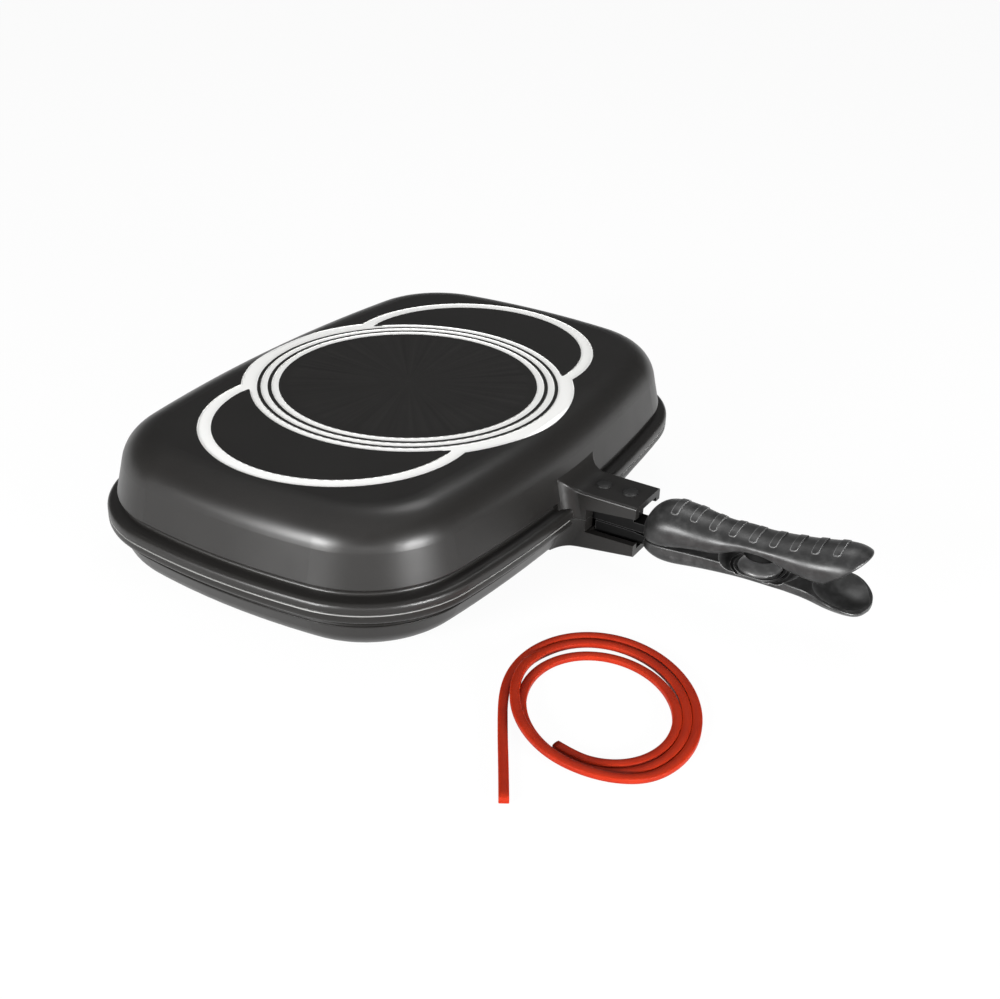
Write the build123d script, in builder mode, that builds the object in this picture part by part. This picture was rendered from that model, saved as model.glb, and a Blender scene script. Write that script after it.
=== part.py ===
from build123d import *
import os
from collections import namedtuple
from math import atan2, cos, degrees, hypot, radians, sin, sqrt, tan

# Double sided flip pan. Two die-cast halves share one rim outline and turn on a hinge along one
# long side; a grip on each half closes over the other and two magnets hold them together.
# Millimetres. X runs along the long sides, the grips point to -Y, the hinge is on +Y, and the
# origin is the middle of the lower pan's flat base. Insets are measured inwards from the rim
# outline, and heights of a half are measured away from the parting plane.

os.makedirs("parts", exist_ok=True)

# ---------------------------------------------------------------- rim outline
RIM_HALF_LENGTH = 180.0
RIM_HALF_WIDTH = 124.4
LONG_SIDE_RADIUS = 863.0
SHORT_SIDE_RADIUS = 409.0
CORNER_RADIUS = 70.7
RIM_FRONT = -RIM_HALF_WIDTH    # the rim's outermost point on the grips' side

# ---------------------------------------------------------------- pan halves
LOWER_DEPTH = 35.0
UPPER_DEPTH = 46.4
PARTING_GAP = 0.4
BASE_THICKNESS = 4.0
RIM_WIDTH = 13.0
RIM_CHAMFER = 0.5
BAND_EDGE = 2.4          # height at which the rim band starts to round over
BAND_HEIGHT = 5.9
BAND_INSET = 3.6
NECK_INSET = 8.8         # deepest point of the groove between the rim band and the dome
NECK_START = 7.4         # where the groove's round bottom starts
NECK_FLOOR = 6.5
NECK_ROOF = 9.8
LIP_INSET = 5.9          # rounded lower edge of the dome
LIP_HEIGHT = 10.6
LIP_ROUND = 0.9

Dome = namedtuple("Dome", "depth knee_inset knee_height flat_inset wall")
UPPER_DOME = Dome(UPPER_DEPTH, 10.2, 29.6, 32.8, 3.4)
LOWER_DOME = Dome(LOWER_DEPTH, 9.4, 18.4, 46.0, 3.4)
ROUNDING = 0.56          # share of the corner taken by each handle of the dome's curve

# ---------------------------------------------------------------- seal
SEAL_WIDTH = 5.5
SEAL_INSET = 7.2
GROOVE_DEPTH = 2.2
SEAL_SIDE_CLEARANCE = 0.1
SEAL_CROWN = 1.1         # how far the seal's crown stands above the parting plane
CROWN_CLEARANCE = 0.3
CROWN_SIDE_CLEARANCE = 0.8

# ---------------------------------------------------------------- ring pattern in the top
PATTERN_DEPTH = 0.35
INNER_RINGS = [(83.53, 87.55), (77.05, 81.24)]
OUTER_RING_INNER = 89.72
OUTER_RING_OUTER = 99.23
OUTER_RING_AT_EARS = 93.91
EAR_CENTRE = 67.7
EAR_INNER = 71.4
EAR_OUTER = 78.9
EAR_CORNER = 3.0

# ---------------------------------------------------------------- inside and under the lower pan
GRILL_PITCH = 14.0
GRILL_COUNT = 11
GRILL_WIDTH = 5.0
GRILL_HEIGHT = 2.2
GRILL_EDGE_ROUND = 0.8
GRILL_MARGIN = 1.0       # from the edge of the flat floor to the ribs' ends
BASE_RING_RADII = [28.0, 44.0, 60.0]
BASE_RING_WIDTH = 1.6
BASE_RING_DEPTH = 0.4

# ---------------------------------------------------------------- grip lugs, one on each half
LUG_END = RIM_FRONT - 37.6
LUG_HALF_WIDTH = 15.4
LUG_FLARE = 9.0          # radius where the lug's sides run into the dome
LUG_FLARE_TUCK = 0.7     # how far the flare's end lies inside the dome's wall
LUG_WEB_END = RIM_FRONT - 7.0      # outer face of the web that closes the gap between the lugs
LUG_SIDE_WALL = 4.4
LUG_ROOF = 4.0
UPPER_LUG_NEAR = 10.0    # distance of the lug's open side from the parting plane, at its end
UPPER_LUG_WEB_NEAR = 7.0      # and at the web
UPPER_LUG_FAR = 16.9     # distance of its closed side
UPPER_LUG_DIP = 16.9     # distance of its closed side where the hollow curve starts
UPPER_LUG_ROOT = 28.5    # where its closed side meets the dome
UPPER_TROUGH_START = RIM_FRONT - 2.6
LOWER_LUG_NEAR = 6.7
LOWER_LUG_WEB_NEAR = 7.4
LOWER_LUG_FAR = 14.2
LOWER_LUG_DIP = 18.6
LOWER_LUG_ROOT = 23.0
LOWER_TROUGH_START = RIM_FRONT - 8.6
LUG_FILLET_START = RIM_FRONT - 4.6
LUG_EDGE = 1.5           # rounding along the closed side
LUG_ROOT_DEPTH = 5.5     # how far the lug reaches into the dome's wall, from the dome's edge

# ---------------------------------------------------------------- tangs
TANG_WIDTH = 12.0
TANG_THICKNESS = 5.2
TANG_SETBACK = 0.5       # from the trough's blind end
TANG_SLOT_CLEARANCE = 0.4     # each side of the tang, in the web's slot
TANG_PARTING = -2.8      # height of the plane between the two tangs
TANG_GAP = 0.8
TANG_BLOCK_END = RIM_FRONT - 32.6
TANG_BEND = RIM_FRONT - 42.6       # where the tangs bend inside the grips
UPPER_TANG_END = RIM_FRONT - 80.6
LOWER_TANG_END = RIM_FRONT - 75.6
UPPER_TANG_RISE = 10.4
LOWER_TANG_DROP = 1.2
LOWER_TANG_TAIL = 4.2    # thickness of the lower tang's tail

# ---------------------------------------------------------------- screws
UPPER_LUG_SCREWS = [RIM_FRONT - 9.6, RIM_FRONT - 26.1]
LOWER_LUG_SCREWS = [RIM_FRONT - 16.1, RIM_FRONT - 28.6]
LUG_SCREW_RADIUS = 2.5
LUG_SCREW_HEAD_RADIUS = 4.6
LUG_SCREW_HEAD_HEIGHT = 1.5
LUG_SCREW_TIP = 1.5      # the tip stops this far short of the tang's parting side
HEAD_CLEARANCE = 0.4     # round a sunk screw head
UPPER_GRIP_SCREW = RIM_FRONT - 66.6
LOWER_GRIP_SCREW = RIM_FRONT - 58.6
GRIP_SCREW_RADIUS = 2.0
GRIP_SCREW_HEAD_RADIUS = 3.8
GRIP_SCREW_HEAD_HEIGHT = 1.8
GRIP_SCREW_HEAD_DEPTH = 6.0    # room below the head seat, open at the grip's face
GRIP_SCREW_SEAT = 1.8    # wall of the grip under the screw's head
UPPER_GRIP_BITE = 4.4    # length of each grip screw inside its tang
LOWER_GRIP_BITE = 3.8

# ---------------------------------------------------------------- grips
GRIP_FRONT = RIM_FRONT - 39.8
Station = namedtuple("Station", "along half_width inner side crown inner_round")
UPPER_GRIP = [
    Station(0.0, 7.5, 0.0, 3.5, 8.0, 1.5),
    Station(1.8, 11.0, -1.8, 4.0, 12.0, 2.0),
    Station(5.5, 14.2, -2.3, 5.0, 16.2, 3.0),
    Station(12.0, 16.0, -2.2, 6.5, 19.3, 3.5),
    Station(20.0, 16.2, -1.0, 8.0, 19.8, 4.0),
    Station(36.0, 14.8, 1.2, 8.0, 17.8, 4.0),
    Station(50.0, 13.6, 4.4, 9.5, 16.7, 3.4),
    Station(62.0, 13.0, 8.8, 11.6, 16.6, 2.0),
    Station(72.0, 13.0, 8.8, 11.8, 17.0, 2.0),
    Station(84.0, 13.8, 6.0, 11.8, 18.8, 3.0),
    Station(98.0, 15.0, 4.2, 12.0, 21.4, 4.0),
    Station(110.0, 15.6, 4.8, 13.5, 24.0, 4.0),
    Station(118.0, 14.6, 6.2, 14.4, 24.7, 4.0),
    Station(123.0, 12.2, 7.6, 14.8, 23.8, 4.0),
    Station(127.5, 7.8, 9.4, 15.0, 20.8, 3.0),
]
Hull = namedtuple("Hull", "along half_width inner side crown bend flat")
LOWER_GRIP = [
    Hull(1.8, 10.5, -3.2, -5.6, -8.8, 10.5, 7.3),
    Hull(5.0, 12.6, -3.0, -6.0, -9.9, 12.6, 8.7),
    Hull(11.0, 14.0, -2.6, -6.6, -11.9, 14.0, 8.7),
    Hull(20.0, 14.2, -2.0, -6.6, -12.4, 14.2, 8.4),
    Hull(34.0, 13.8, -1.1, -5.4, -10.4, 13.8, 8.8),
    Hull(50.0, 13.4, -0.7, -4.6, -8.4, 13.4, 9.6),
    Hull(68.0, 13.2, -0.7, -4.2, -7.3, 13.2, 10.1),
    Hull(84.0, 13.6, -0.8, -4.0, -6.9, 13.6, 10.5),
    Hull(96.0, 14.6, -1.2, -4.0, -7.4, 14.4, 10.0),
    Hull(105.0, 17.4, -1.7, -3.9, -8.7, 15.4, 8.0),
    Hull(114.0, 19.8, -2.5, -3.9, -10.2, 15.0, 5.0),
    Hull(120.5, 17.8, -4.4, -5.6, -10.7, 13.0, 4.5),
    Hull(124.5, 14.4, -6.0, -7.1, -10.8, 10.4, 3.6),
    Hull(127.3, 9.0, -6.7, -7.7, -10.2, 6.4, 2.4),
    Hull(128.6, 4.0, -6.9, -7.8, -9.4, 2.8, 1.0),
]
HULL_EDGE = 0.8           # rounding along the lower grip's inner face
GRIP_BEVEL_TOP = (RIM_FRONT - 163.9, 20.6)
GRIP_BEVEL_UNDER = (RIM_FRONT - 144.2, 4.5)
GRIP_BEVEL_EDGE = 1.2     # rounding of the bevel's rim
GRIP_RIB_COUNT = 9
GRIP_RIB_FIRST = RIM_FRONT - 57.6
GRIP_RIB_PITCH = 11.42
GRIP_RIB_WIDTH = 4.0
GRIP_RIB_LENGTH = 20.0
GRIP_RIB_HEIGHT = 0.7
GRIP_RIB_CORNER = 1.4
GRIP_RIB_ROOT = 11.5     # height above the parting plane where the ribs start, inside the grip
SPOON_CENTRE = RIM_FRONT - 156.6
SPOON_RADIUS = 30.0      # radius of the ball that hollows the spoon tip
SPOON_FLOOR = -8.7
TANG_POCKET_CLEARANCE = 0.15

# ---------------------------------------------------------------- magnets
MAGNET_Y = RIM_FRONT - 106.6
DISH_RADIUS = 23.0
DISH_RIM = -0.4
DISH_FLOOR = -5.0
DISH_STEP_RADII = (18.5, 16.2, 14.2)
DISH_STEP = 0.8
MAGNET_RADIUS = 7.5
CAP_WALL = 1.4           # over the face of each magnet
LOWER_CAP_RADIUS = 12.0
LOWER_CAP_EDGE = -3.9    # height at which the lower cap starts to round over
LOWER_CAP_TOP = 0.2
LOWER_CAP_SEAT = -5.8
LOWER_CAP_CLEARANCE = 0.1
CAP_GAP = 3.0            # between the two caps with the grips closed
UPPER_CAP_RADIUS = 9.8
UPPER_CAP_SEAT = 10.4
UPPER_CAP_ROUND = 1.2

# ---------------------------------------------------------------- hinge
HINGE_SETBACK = 9.6      # pin axis behind the rim outline
KNUCKLE_RADIUS = 6.5
PIN_RADIUS = 3.0
PIN_CLEARANCE = 0.05
LID_KNUCKLE_HALF = 11.5
KNUCKLE_GAP = 0.8
WASHER_THICKNESS = 0.5
WASHER_RADIUS = 5.8
OUTER_KNUCKLE_LENGTH = 18.0
PIN_HEAD_RADIUS = 4.6
PIN_HEAD_LENGTH = 1.8
CLIP_THICKNESS = 1.0
CLIP_RADIUS = 4.8
CLIP_GROOVE_RADIUS = 2.3
CLIP_PLAY = 0.1
PIN_TAIL = 1.6
HEEL_LENGTH = 11.0
HEEL_THICKNESS = 5.0
OPENING_ANGLE = 105.0
STOP_START = 6.0         # the stop's face, measured from the pin's axis
STOP_END = 10.0
STOP_BASE = 16.0         # where the stop's underside meets the pan
STOP_TUCK = 0.5          # how far the stop runs into the arms beside it
STOP_CLEARANCE = 0.3
HINGE_RIB_DROP = 22.0    # how far down the dome the lower hinge arms reach

# ---------------------------------------------------------------- spare seal on the table
COIL_CENTRE = (-122.0, -201.0)
COIL_TURN = 42.0         # direction of the coil's longer axis
COIL_OUTER = (65.0, 53.0)
COIL_INNER = (41.0, 34.0)
TAIL_ROUTE = [(-211.0, -198.0), (-190.0, -182.0), (-163.0, -167.2)]

# ---------------------------------------------------------------- worked out from the above
PARTING_Z = LOWER_DEPTH
TOP_Z = LOWER_DEPTH + UPPER_DEPTH
RIM_FACE = PARTING_GAP / 2
HINGE_Y = RIM_HALF_WIDTH + HINGE_SETBACK
LONG_OFFSET = LONG_SIDE_RADIUS - RIM_HALF_WIDTH
SHORT_OFFSET = SHORT_SIDE_RADIUS - RIM_HALF_LENGTH


def corner_centre():
    """Centre of the corner arc: it touches one long-side arc and one short-side arc from inside."""
    reach_long = LONG_SIDE_RADIUS - CORNER_RADIUS
    reach_short = SHORT_SIDE_RADIUS - CORNER_RADIUS
    span = hypot(LONG_OFFSET, SHORT_OFFSET)
    along = (reach_long**2 - reach_short**2 + span**2) / (2 * span)
    across = sqrt(reach_long**2 - along**2)
    unit_x = -SHORT_OFFSET / span
    unit_y = LONG_OFFSET / span
    return along * unit_x + across * unit_y, along * unit_y - across * unit_x - LONG_OFFSET


CORNER_X, CORNER_Y = corner_centre()
LONG_ANGLE = degrees(atan2(CORNER_X, CORNER_Y + LONG_OFFSET))
SHORT_ANGLE = degrees(atan2(CORNER_Y, CORNER_X + SHORT_OFFSET))
CORNER_ANGLE = 90 - LONG_ANGLE - SHORT_ANGLE


def rim_line(inset):
    """Draw the rim outline, moved inwards by inset: nine tangent arcs from the middle of -Y."""
    long_r = LONG_SIDE_RADIUS - inset
    short_r = SHORT_SIDE_RADIUS - inset
    corner_r = CORNER_RADIUS - inset
    CenterArc((0, LONG_OFFSET), long_r, -90, LONG_ANGLE)
    CenterArc((CORNER_X, -CORNER_Y), corner_r, LONG_ANGLE - 90, CORNER_ANGLE)
    CenterArc((-SHORT_OFFSET, 0), short_r, -SHORT_ANGLE, 2 * SHORT_ANGLE)
    CenterArc((CORNER_X, CORNER_Y), corner_r, SHORT_ANGLE, CORNER_ANGLE)
    CenterArc((0, -LONG_OFFSET), long_r, 90 - LONG_ANGLE, 2 * LONG_ANGLE)
    CenterArc((-CORNER_X, CORNER_Y), corner_r, 90 + LONG_ANGLE, CORNER_ANGLE)
    CenterArc((SHORT_OFFSET, 0), short_r, 180 - SHORT_ANGLE, 2 * SHORT_ANGLE)
    CenterArc((-CORNER_X, -CORNER_Y), corner_r, 180 + SHORT_ANGLE, CORNER_ANGLE)
    CenterArc((0, LONG_OFFSET), long_r, 270 - LONG_ANGLE, LONG_ANGLE)


def rim_section(up):
    """Plane across the rim at the middle of -Y: local x is inset, local y leads away from the parting."""
    side = 1 if up else -1
    return Plane(origin=(0, RIM_FRONT, PARTING_Z), x_dir=(0, 1, 0), z_dir=(side, 0, 0))


def dome_curve(start, end, lean):
    """Rounded corner of the dome from its leaning wall to its flat: one cubic curve."""
    rise = end[1] - start[1]
    run = end[0] - start[0]
    leave = (start[0] + ROUNDING * rise * sin(lean), start[1] + ROUNDING * rise * cos(lean))
    arrive = (end[0] - ROUNDING * run, end[1])
    Bezier(start, leave, arrive, end)


def wall_lean(dome):
    """Angle between the dome's wall and the vertical."""
    return atan2(dome.knee_inset - LIP_INSET, dome.knee_height - LIP_HEIGHT)


def shell_profile(dome):
    """Closed section of one pan half from its rim face to the edge of its flat."""
    lean = wall_lean(dome)
    wall_foot = (LIP_INSET + LIP_ROUND * sin(lean), LIP_HEIGHT + LIP_ROUND * cos(lean))
    neck_middle = (NECK_FLOOR + NECK_ROOF) / 2
    knee = (dome.knee_inset, dome.knee_height)
    flat = (dome.flat_inset, dome.depth)
    inner_flat = (dome.flat_inset, dome.depth - BASE_THICKNESS)
    inner_knee = (dome.knee_inset + dome.wall, dome.knee_height - 0.6 * BASE_THICKNESS)
    inner_lean = atan2(inner_knee[0] - RIM_WIDTH, inner_knee[1])
    chamfered = (0, RIM_FACE + RIM_CHAMFER)
    Line((RIM_CHAMFER, RIM_FACE), chamfered)
    Line(chamfered, (0, BAND_EDGE))
    Bezier((0, BAND_EDGE), (0, BAND_HEIGHT), (BAND_INSET, BAND_HEIGHT))
    Line((BAND_INSET, BAND_HEIGHT), (NECK_START, NECK_FLOOR))
    ThreePointArc((NECK_START, NECK_FLOOR), (NECK_INSET, neck_middle), (NECK_START, NECK_ROOF))
    Line((NECK_START, NECK_ROOF), (LIP_INSET + LIP_ROUND, LIP_HEIGHT))
    Bezier((LIP_INSET + LIP_ROUND, LIP_HEIGHT), (LIP_INSET, LIP_HEIGHT), wall_foot)
    Line(wall_foot, knee)
    dome_curve(knee, flat, lean)
    Line(flat, inner_flat)
    dome_curve(inner_knee, inner_flat, inner_lean)
    Line(inner_knee, (RIM_WIDTH, RIM_FACE))
    Line((RIM_WIDTH, RIM_FACE), (RIM_CHAMFER, RIM_FACE))


with BuildLine(Plane.XY.offset(PARTING_Z)) as rim_path:
    rim_line(0)
RIM_WIRE = rim_path.wires()[0]


def lug_side(near, web_near, far, dip, root, sign):
    """Side view of a grip lug: its closed side runs straight, then in a hollow curve to the dome.
    Its open side ends at a web that reaches to the rim face."""
    buried = RIM_FRONT + LIP_INSET + LUG_ROOT_DEPTH
    near_z = PARTING_Z + sign * near
    web_z = PARTING_Z + sign * web_near
    face_z = PARTING_Z + sign * RIM_FACE
    far_z = PARTING_Z + sign * far
    dip_z = PARTING_Z + sign * dip
    root_z = PARTING_Z + sign * root
    Line((LUG_END, near_z), (LUG_END, far_z))
    Line((LUG_END, far_z), (LUG_FILLET_START, dip_z))
    TangentArc(
        (LUG_FILLET_START, dip_z),
        (buried, root_z),
        tangent=(LUG_FILLET_START - LUG_END, dip_z - far_z),
    )
    Polyline(
        (buried, root_z),
        (buried, face_z),
        (LUG_WEB_END, face_z),
        (LUG_WEB_END, web_z),
        (LUG_END, near_z),
    )


def lug_plan(wall_y):
    """Plan of a grip lug: straight sides, flared by a quarter round into the dome's wall at wall_y."""
    outer_y = LUG_END - TOP_Z
    flare_y = wall_y + LUG_FLARE_TUCK
    wide = LUG_HALF_WIDTH + LUG_FLARE
    Line((0, outer_y), (LUG_HALF_WIDTH, outer_y))
    Line((LUG_HALF_WIDTH, outer_y), (LUG_HALF_WIDTH, flare_y - LUG_FLARE))
    TangentArc((LUG_HALF_WIDTH, flare_y - LUG_FLARE), (wide, flare_y), tangent=(0, 1))
    Polyline((wide, flare_y), (wide, flare_y + RIM_WIDTH), (0, flare_y + RIM_WIDTH))
    mirror(about=Plane.YZ)


def cut_across(half_width, start, end, top, sign):
    """Cut a box out of a lug from the parting plane: half_width to each side, from start to end along Y."""
    with Locations((0, (start + end) / 2, PARTING_Z + sign * top / 2)):
        Box(2 * half_width, end - start, top, mode=Mode.SUBTRACT)


def grip_lug(near, web_near, far, dip, root, dome, sign, trough_start, slot_depth):
    """A cast lug, flared along the dome's leaning wall, with a trough on its parting side and a slot
    through its web for the tang."""
    slope = tan(wall_lean(dome))
    with BuildPart() as lug:
        with BuildSketch(Plane.YZ):
            with BuildLine():
                lug_side(near, web_near, far, dip, root, sign)
            make_face()
        extrude(amount=LUG_HALF_WIDTH + LUG_FLARE + 1, both=True)
        with BuildSketch(Plane.XY.offset(PARTING_Z)):
            with BuildLine():
                lug_plan(RIM_FRONT + LIP_INSET - LIP_HEIGHT * slope)
            make_face()
        extrude(amount=TOP_Z, dir=(0, slope, sign), mode=Mode.INTERSECT)
        # soften the long edges of the closed side
        long_edges = [
            edge
            for edge in lug.edges()
            if edge.bounding_box().max.Y < RIM_FRONT + LIP_INSET
            and abs(edge.center().X) > LUG_HALF_WIDTH - LUG_EDGE
            and abs(edge.center().Z - PARTING_Z) > far - LUG_EDGE
        ]
        fillet(long_edges, LUG_EDGE)
        trough_end = min(trough_start, LUG_WEB_END)
        cut_across(LUG_HALF_WIDTH - LUG_SIDE_WALL, LUG_END - 1, trough_end, far - LUG_ROOF, sign)
        slot_half = TANG_WIDTH / 2 + TANG_SLOT_CLEARANCE
        cut_across(slot_half, LUG_WEB_END - 1, UPPER_TROUGH_START, slot_depth, sign)
    return lug.part


# ================================================================ lower pan
STOP_DIRECTION = radians(-OPENING_ANGLE)
STOP_OFFSET = HEEL_THICKNESS / 2 + STOP_CLEARANCE


def stop_point(reach):
    """Point on the stop face, reach from the pin axis: the heel lies on it when the lid is open."""
    y = HINGE_Y + reach * cos(STOP_DIRECTION) + STOP_OFFSET * sin(STOP_DIRECTION)
    z = PARTING_Z + reach * sin(STOP_DIRECTION) - STOP_OFFSET * cos(STOP_DIRECTION)
    return y, z


OUTER_KNUCKLE_X = LID_KNUCKLE_HALF + KNUCKLE_GAP + OUTER_KNUCKLE_LENGTH / 2
HINGE_ROOT_Y = RIM_HALF_WIDTH - LIP_INSET - 5

with BuildPart() as lower_pan:
    with BuildSketch(rim_section(False)):
        with BuildLine():
            shell_profile(LOWER_DOME)
        make_face()
    sweep(path=RIM_WIRE)
    with BuildSketch():
        with BuildLine():
            rim_line(LOWER_DOME.flat_inset)
        make_face()
    extrude(amount=BASE_THICKNESS)
    # grip lug
    add(
        grip_lug(
            LOWER_LUG_NEAR,
            LOWER_LUG_WEB_NEAR,
            LOWER_LUG_FAR,
            LOWER_LUG_DIP,
            LOWER_LUG_ROOT,
            LOWER_DOME,
            -1,
            LOWER_TROUGH_START,
            LOWER_LUG_WEB_NEAR,
        )
    )
    with BuildSketch(Plane.XY.offset(PARTING_Z - LOWER_LUG_FAR)):
        with Locations(*[(0, y) for y in LOWER_LUG_SCREWS]):
            Circle(LUG_SCREW_RADIUS)
    extrude(amount=LUG_ROOF, mode=Mode.SUBTRACT)
    with BuildSketch(Plane.XY.offset(PARTING_Z - LOWER_LUG_FAR)):
        with Locations(*[(0, y) for y in LOWER_LUG_SCREWS]):
            Circle(LUG_SCREW_HEAD_RADIUS + HEAD_CLEARANCE)
    extrude(amount=LOWER_LUG_FAR - LOWER_LUG_ROOT, mode=Mode.SUBTRACT)
    # hinge arms with their barrels, and the stop between them
    for x in (-OUTER_KNUCKLE_X, OUTER_KNUCKLE_X):
        with BuildSketch(Plane.YZ.offset(x)):
            with BuildLine():
                Polyline(
                    (HINGE_ROOT_Y, PARTING_Z - RIM_FACE),
                    (HINGE_Y, PARTING_Z - RIM_FACE),
                    (HINGE_Y, PARTING_Z - KNUCKLE_RADIUS),
                    (HINGE_ROOT_Y, PARTING_Z - HINGE_RIB_DROP),
                    close=True,
                )
            make_face()
            with Locations((HINGE_Y, PARTING_Z)):
                Circle(KNUCKLE_RADIUS)
        extrude(amount=OUTER_KNUCKLE_LENGTH / 2, both=True)
    with BuildSketch(Plane.YZ):
        with BuildLine():
            Polyline(
                (HINGE_ROOT_Y, stop_point(STOP_START)[1]),
                stop_point(STOP_START),
                stop_point(STOP_END),
                (HINGE_ROOT_Y, stop_point(STOP_BASE)[1]),
                close=True,
            )
        make_face()
    extrude(amount=LID_KNUCKLE_HALF + KNUCKLE_GAP + STOP_TUCK, both=True)
    with BuildSketch(Plane.YZ):
        with Locations((HINGE_Y, PARTING_Z)):
            Circle(PIN_RADIUS)
    extrude(amount=OUTER_KNUCKLE_X + OUTER_KNUCKLE_LENGTH, both=True, mode=Mode.SUBTRACT)
    # groove for the seal
    with BuildSketch(rim_section(False)):
        with Locations((SEAL_INSET, 0)):
            Rectangle(
                SEAL_WIDTH + 2 * SEAL_SIDE_CLEARANCE,
                2 * (GROOVE_DEPTH + RIM_FACE),
            )
    sweep(path=RIM_WIRE, mode=Mode.SUBTRACT)
    # grill ribs on the floor, cut to the floor's outline
    with BuildPart(mode=Mode.PRIVATE) as grill:
        with BuildSketch(Plane.XY.offset(BASE_THICKNESS)):
            with GridLocations(0, GRILL_PITCH, 1, GRILL_COUNT):
                Rectangle(2 * RIM_HALF_LENGTH, GRILL_WIDTH)
            with BuildLine():
                rim_line(LOWER_DOME.flat_inset + GRILL_MARGIN)
            make_face(mode=Mode.INTERSECT)
        extrude(amount=GRILL_HEIGHT)
        fillet(grill.edges().group_by(Axis.Z)[-1], GRILL_EDGE_ROUND)
    add(grill.part)
    # rings turned into the underside
    with BuildSketch():
        for radius in BASE_RING_RADII:
            Circle(radius + BASE_RING_WIDTH / 2)
            Circle(radius - BASE_RING_WIDTH / 2, mode=Mode.SUBTRACT)
    extrude(amount=BASE_RING_DEPTH, mode=Mode.SUBTRACT)
lower_pan.part.label = "lower_pan"
export_step(lower_pan.part, "parts/lower_pan.step")

# ================================================================ upper pan
with BuildSketch() as ear_lens:
    with Locations((-EAR_CENTRE, 0), (EAR_CENTRE, 0)):
        Circle(EAR_INNER)
    Circle(OUTER_RING_AT_EARS, mode=Mode.SUBTRACT)
    fillet([tip for tip in ear_lens.vertices() if abs(tip.Y) > EAR_CORNER], EAR_CORNER)

with BuildPart() as upper_pan:
    with BuildSketch(rim_section(True)):
        with BuildLine():
            shell_profile(UPPER_DOME)
        make_face()
    sweep(path=RIM_WIRE)
    with BuildSketch(Plane.XY.offset(TOP_Z - BASE_THICKNESS)):
        with BuildLine():
            rim_line(UPPER_DOME.flat_inset)
        make_face()
    extrude(amount=BASE_THICKNESS)
    # grip lug
    add(
        grip_lug(
            UPPER_LUG_NEAR,
            UPPER_LUG_WEB_NEAR,
            UPPER_LUG_FAR,
            UPPER_LUG_DIP,
            UPPER_LUG_ROOT,
            UPPER_DOME,
            1,
            UPPER_TROUGH_START,
            UPPER_LUG_FAR - LUG_ROOF,
        )
    )
    # hinge arm with its barrel and the heel that meets the lower pan's stop
    with BuildSketch(Plane.YZ):
        with BuildLine():
            Polyline(
                (HINGE_ROOT_Y, PARTING_Z + RIM_FACE),
                (HINGE_Y, PARTING_Z + RIM_FACE),
                (HINGE_Y, PARTING_Z + KNUCKLE_RADIUS),
                (HINGE_ROOT_Y, PARTING_Z + HINGE_RIB_DROP),
                close=True,
            )
        make_face()
        with Locations((HINGE_Y, PARTING_Z)):
            Circle(KNUCKLE_RADIUS)
        with Locations((HINGE_Y + HEEL_LENGTH / 2, PARTING_Z)):
            Rectangle(HEEL_LENGTH, HEEL_THICKNESS)
    extrude(amount=LID_KNUCKLE_HALF, both=True)
    with BuildSketch(Plane.YZ):
        with Locations((HINGE_Y, PARTING_Z)):
            Circle(PIN_RADIUS + PIN_CLEARANCE)
    extrude(amount=LID_KNUCKLE_HALF, both=True, mode=Mode.SUBTRACT)
    # shallow channel that clears the seal's crown
    with BuildSketch(rim_section(True)):
        with Locations((SEAL_INSET, 0)):
            Rectangle(
                SEAL_WIDTH + 2 * CROWN_SIDE_CLEARANCE,
                2 * (SEAL_CROWN + CROWN_CLEARANCE),
            )
    sweep(path=RIM_WIRE, mode=Mode.SUBTRACT)
    # holes for the lug screws
    with BuildSketch(Plane.XY.offset(PARTING_Z + UPPER_LUG_FAR)):
        with Locations(*[(0, y) for y in UPPER_LUG_SCREWS]):
            Circle(LUG_SCREW_RADIUS)
    extrude(amount=-LUG_ROOF, mode=Mode.SUBTRACT)
    # ring pattern turned into the top
    with BuildSketch(Plane.XY.offset(TOP_Z)):
        Circle(OUTER_RING_OUTER)
        with Locations((-EAR_CENTRE, 0), (EAR_CENTRE, 0)):
            Circle(EAR_OUTER)
        add(ear_lens.sketch, mode=Mode.SUBTRACT)
        Circle(OUTER_RING_INNER, mode=Mode.SUBTRACT)
        for inner, outer in INNER_RINGS:
            Circle(outer)
            Circle(inner, mode=Mode.SUBTRACT)
    extrude(amount=-PATTERN_DEPTH, mode=Mode.SUBTRACT)
upper_pan.part.label = "upper_pan"
export_step(upper_pan.part, "parts/upper_pan.step")

# ================================================================ seal
SEAL_FOOT = GROOVE_DEPTH + RIM_FACE


def seal_section(middle, foot, crown):
    """Closed section of the seal strip: flat foot, straight sides and a rounded crown."""
    shoulder = crown - (crown - foot) * SEAL_CROWN / (SEAL_FOOT + SEAL_CROWN)
    left = middle - SEAL_WIDTH / 2
    right = middle + SEAL_WIDTH / 2
    Polyline((left, shoulder), (left, foot), (right, foot), (right, shoulder))
    ThreePointArc((right, shoulder), (middle, crown), (left, shoulder))


with BuildPart() as rim_seal:
    with BuildSketch(rim_section(False)):
        with BuildLine():
            seal_section(SEAL_INSET, SEAL_FOOT, -SEAL_CROWN)
        make_face()
    sweep(path=RIM_WIRE)
rim_seal.part.label = "rim_seal"
export_step(rim_seal.part, "parts/rim_seal.step")

# ================================================================ tangs
UPPER_TANG_UNDER = TANG_PARTING + TANG_GAP / 2
LOWER_TANG_TOP = TANG_PARTING - TANG_GAP / 2


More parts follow.
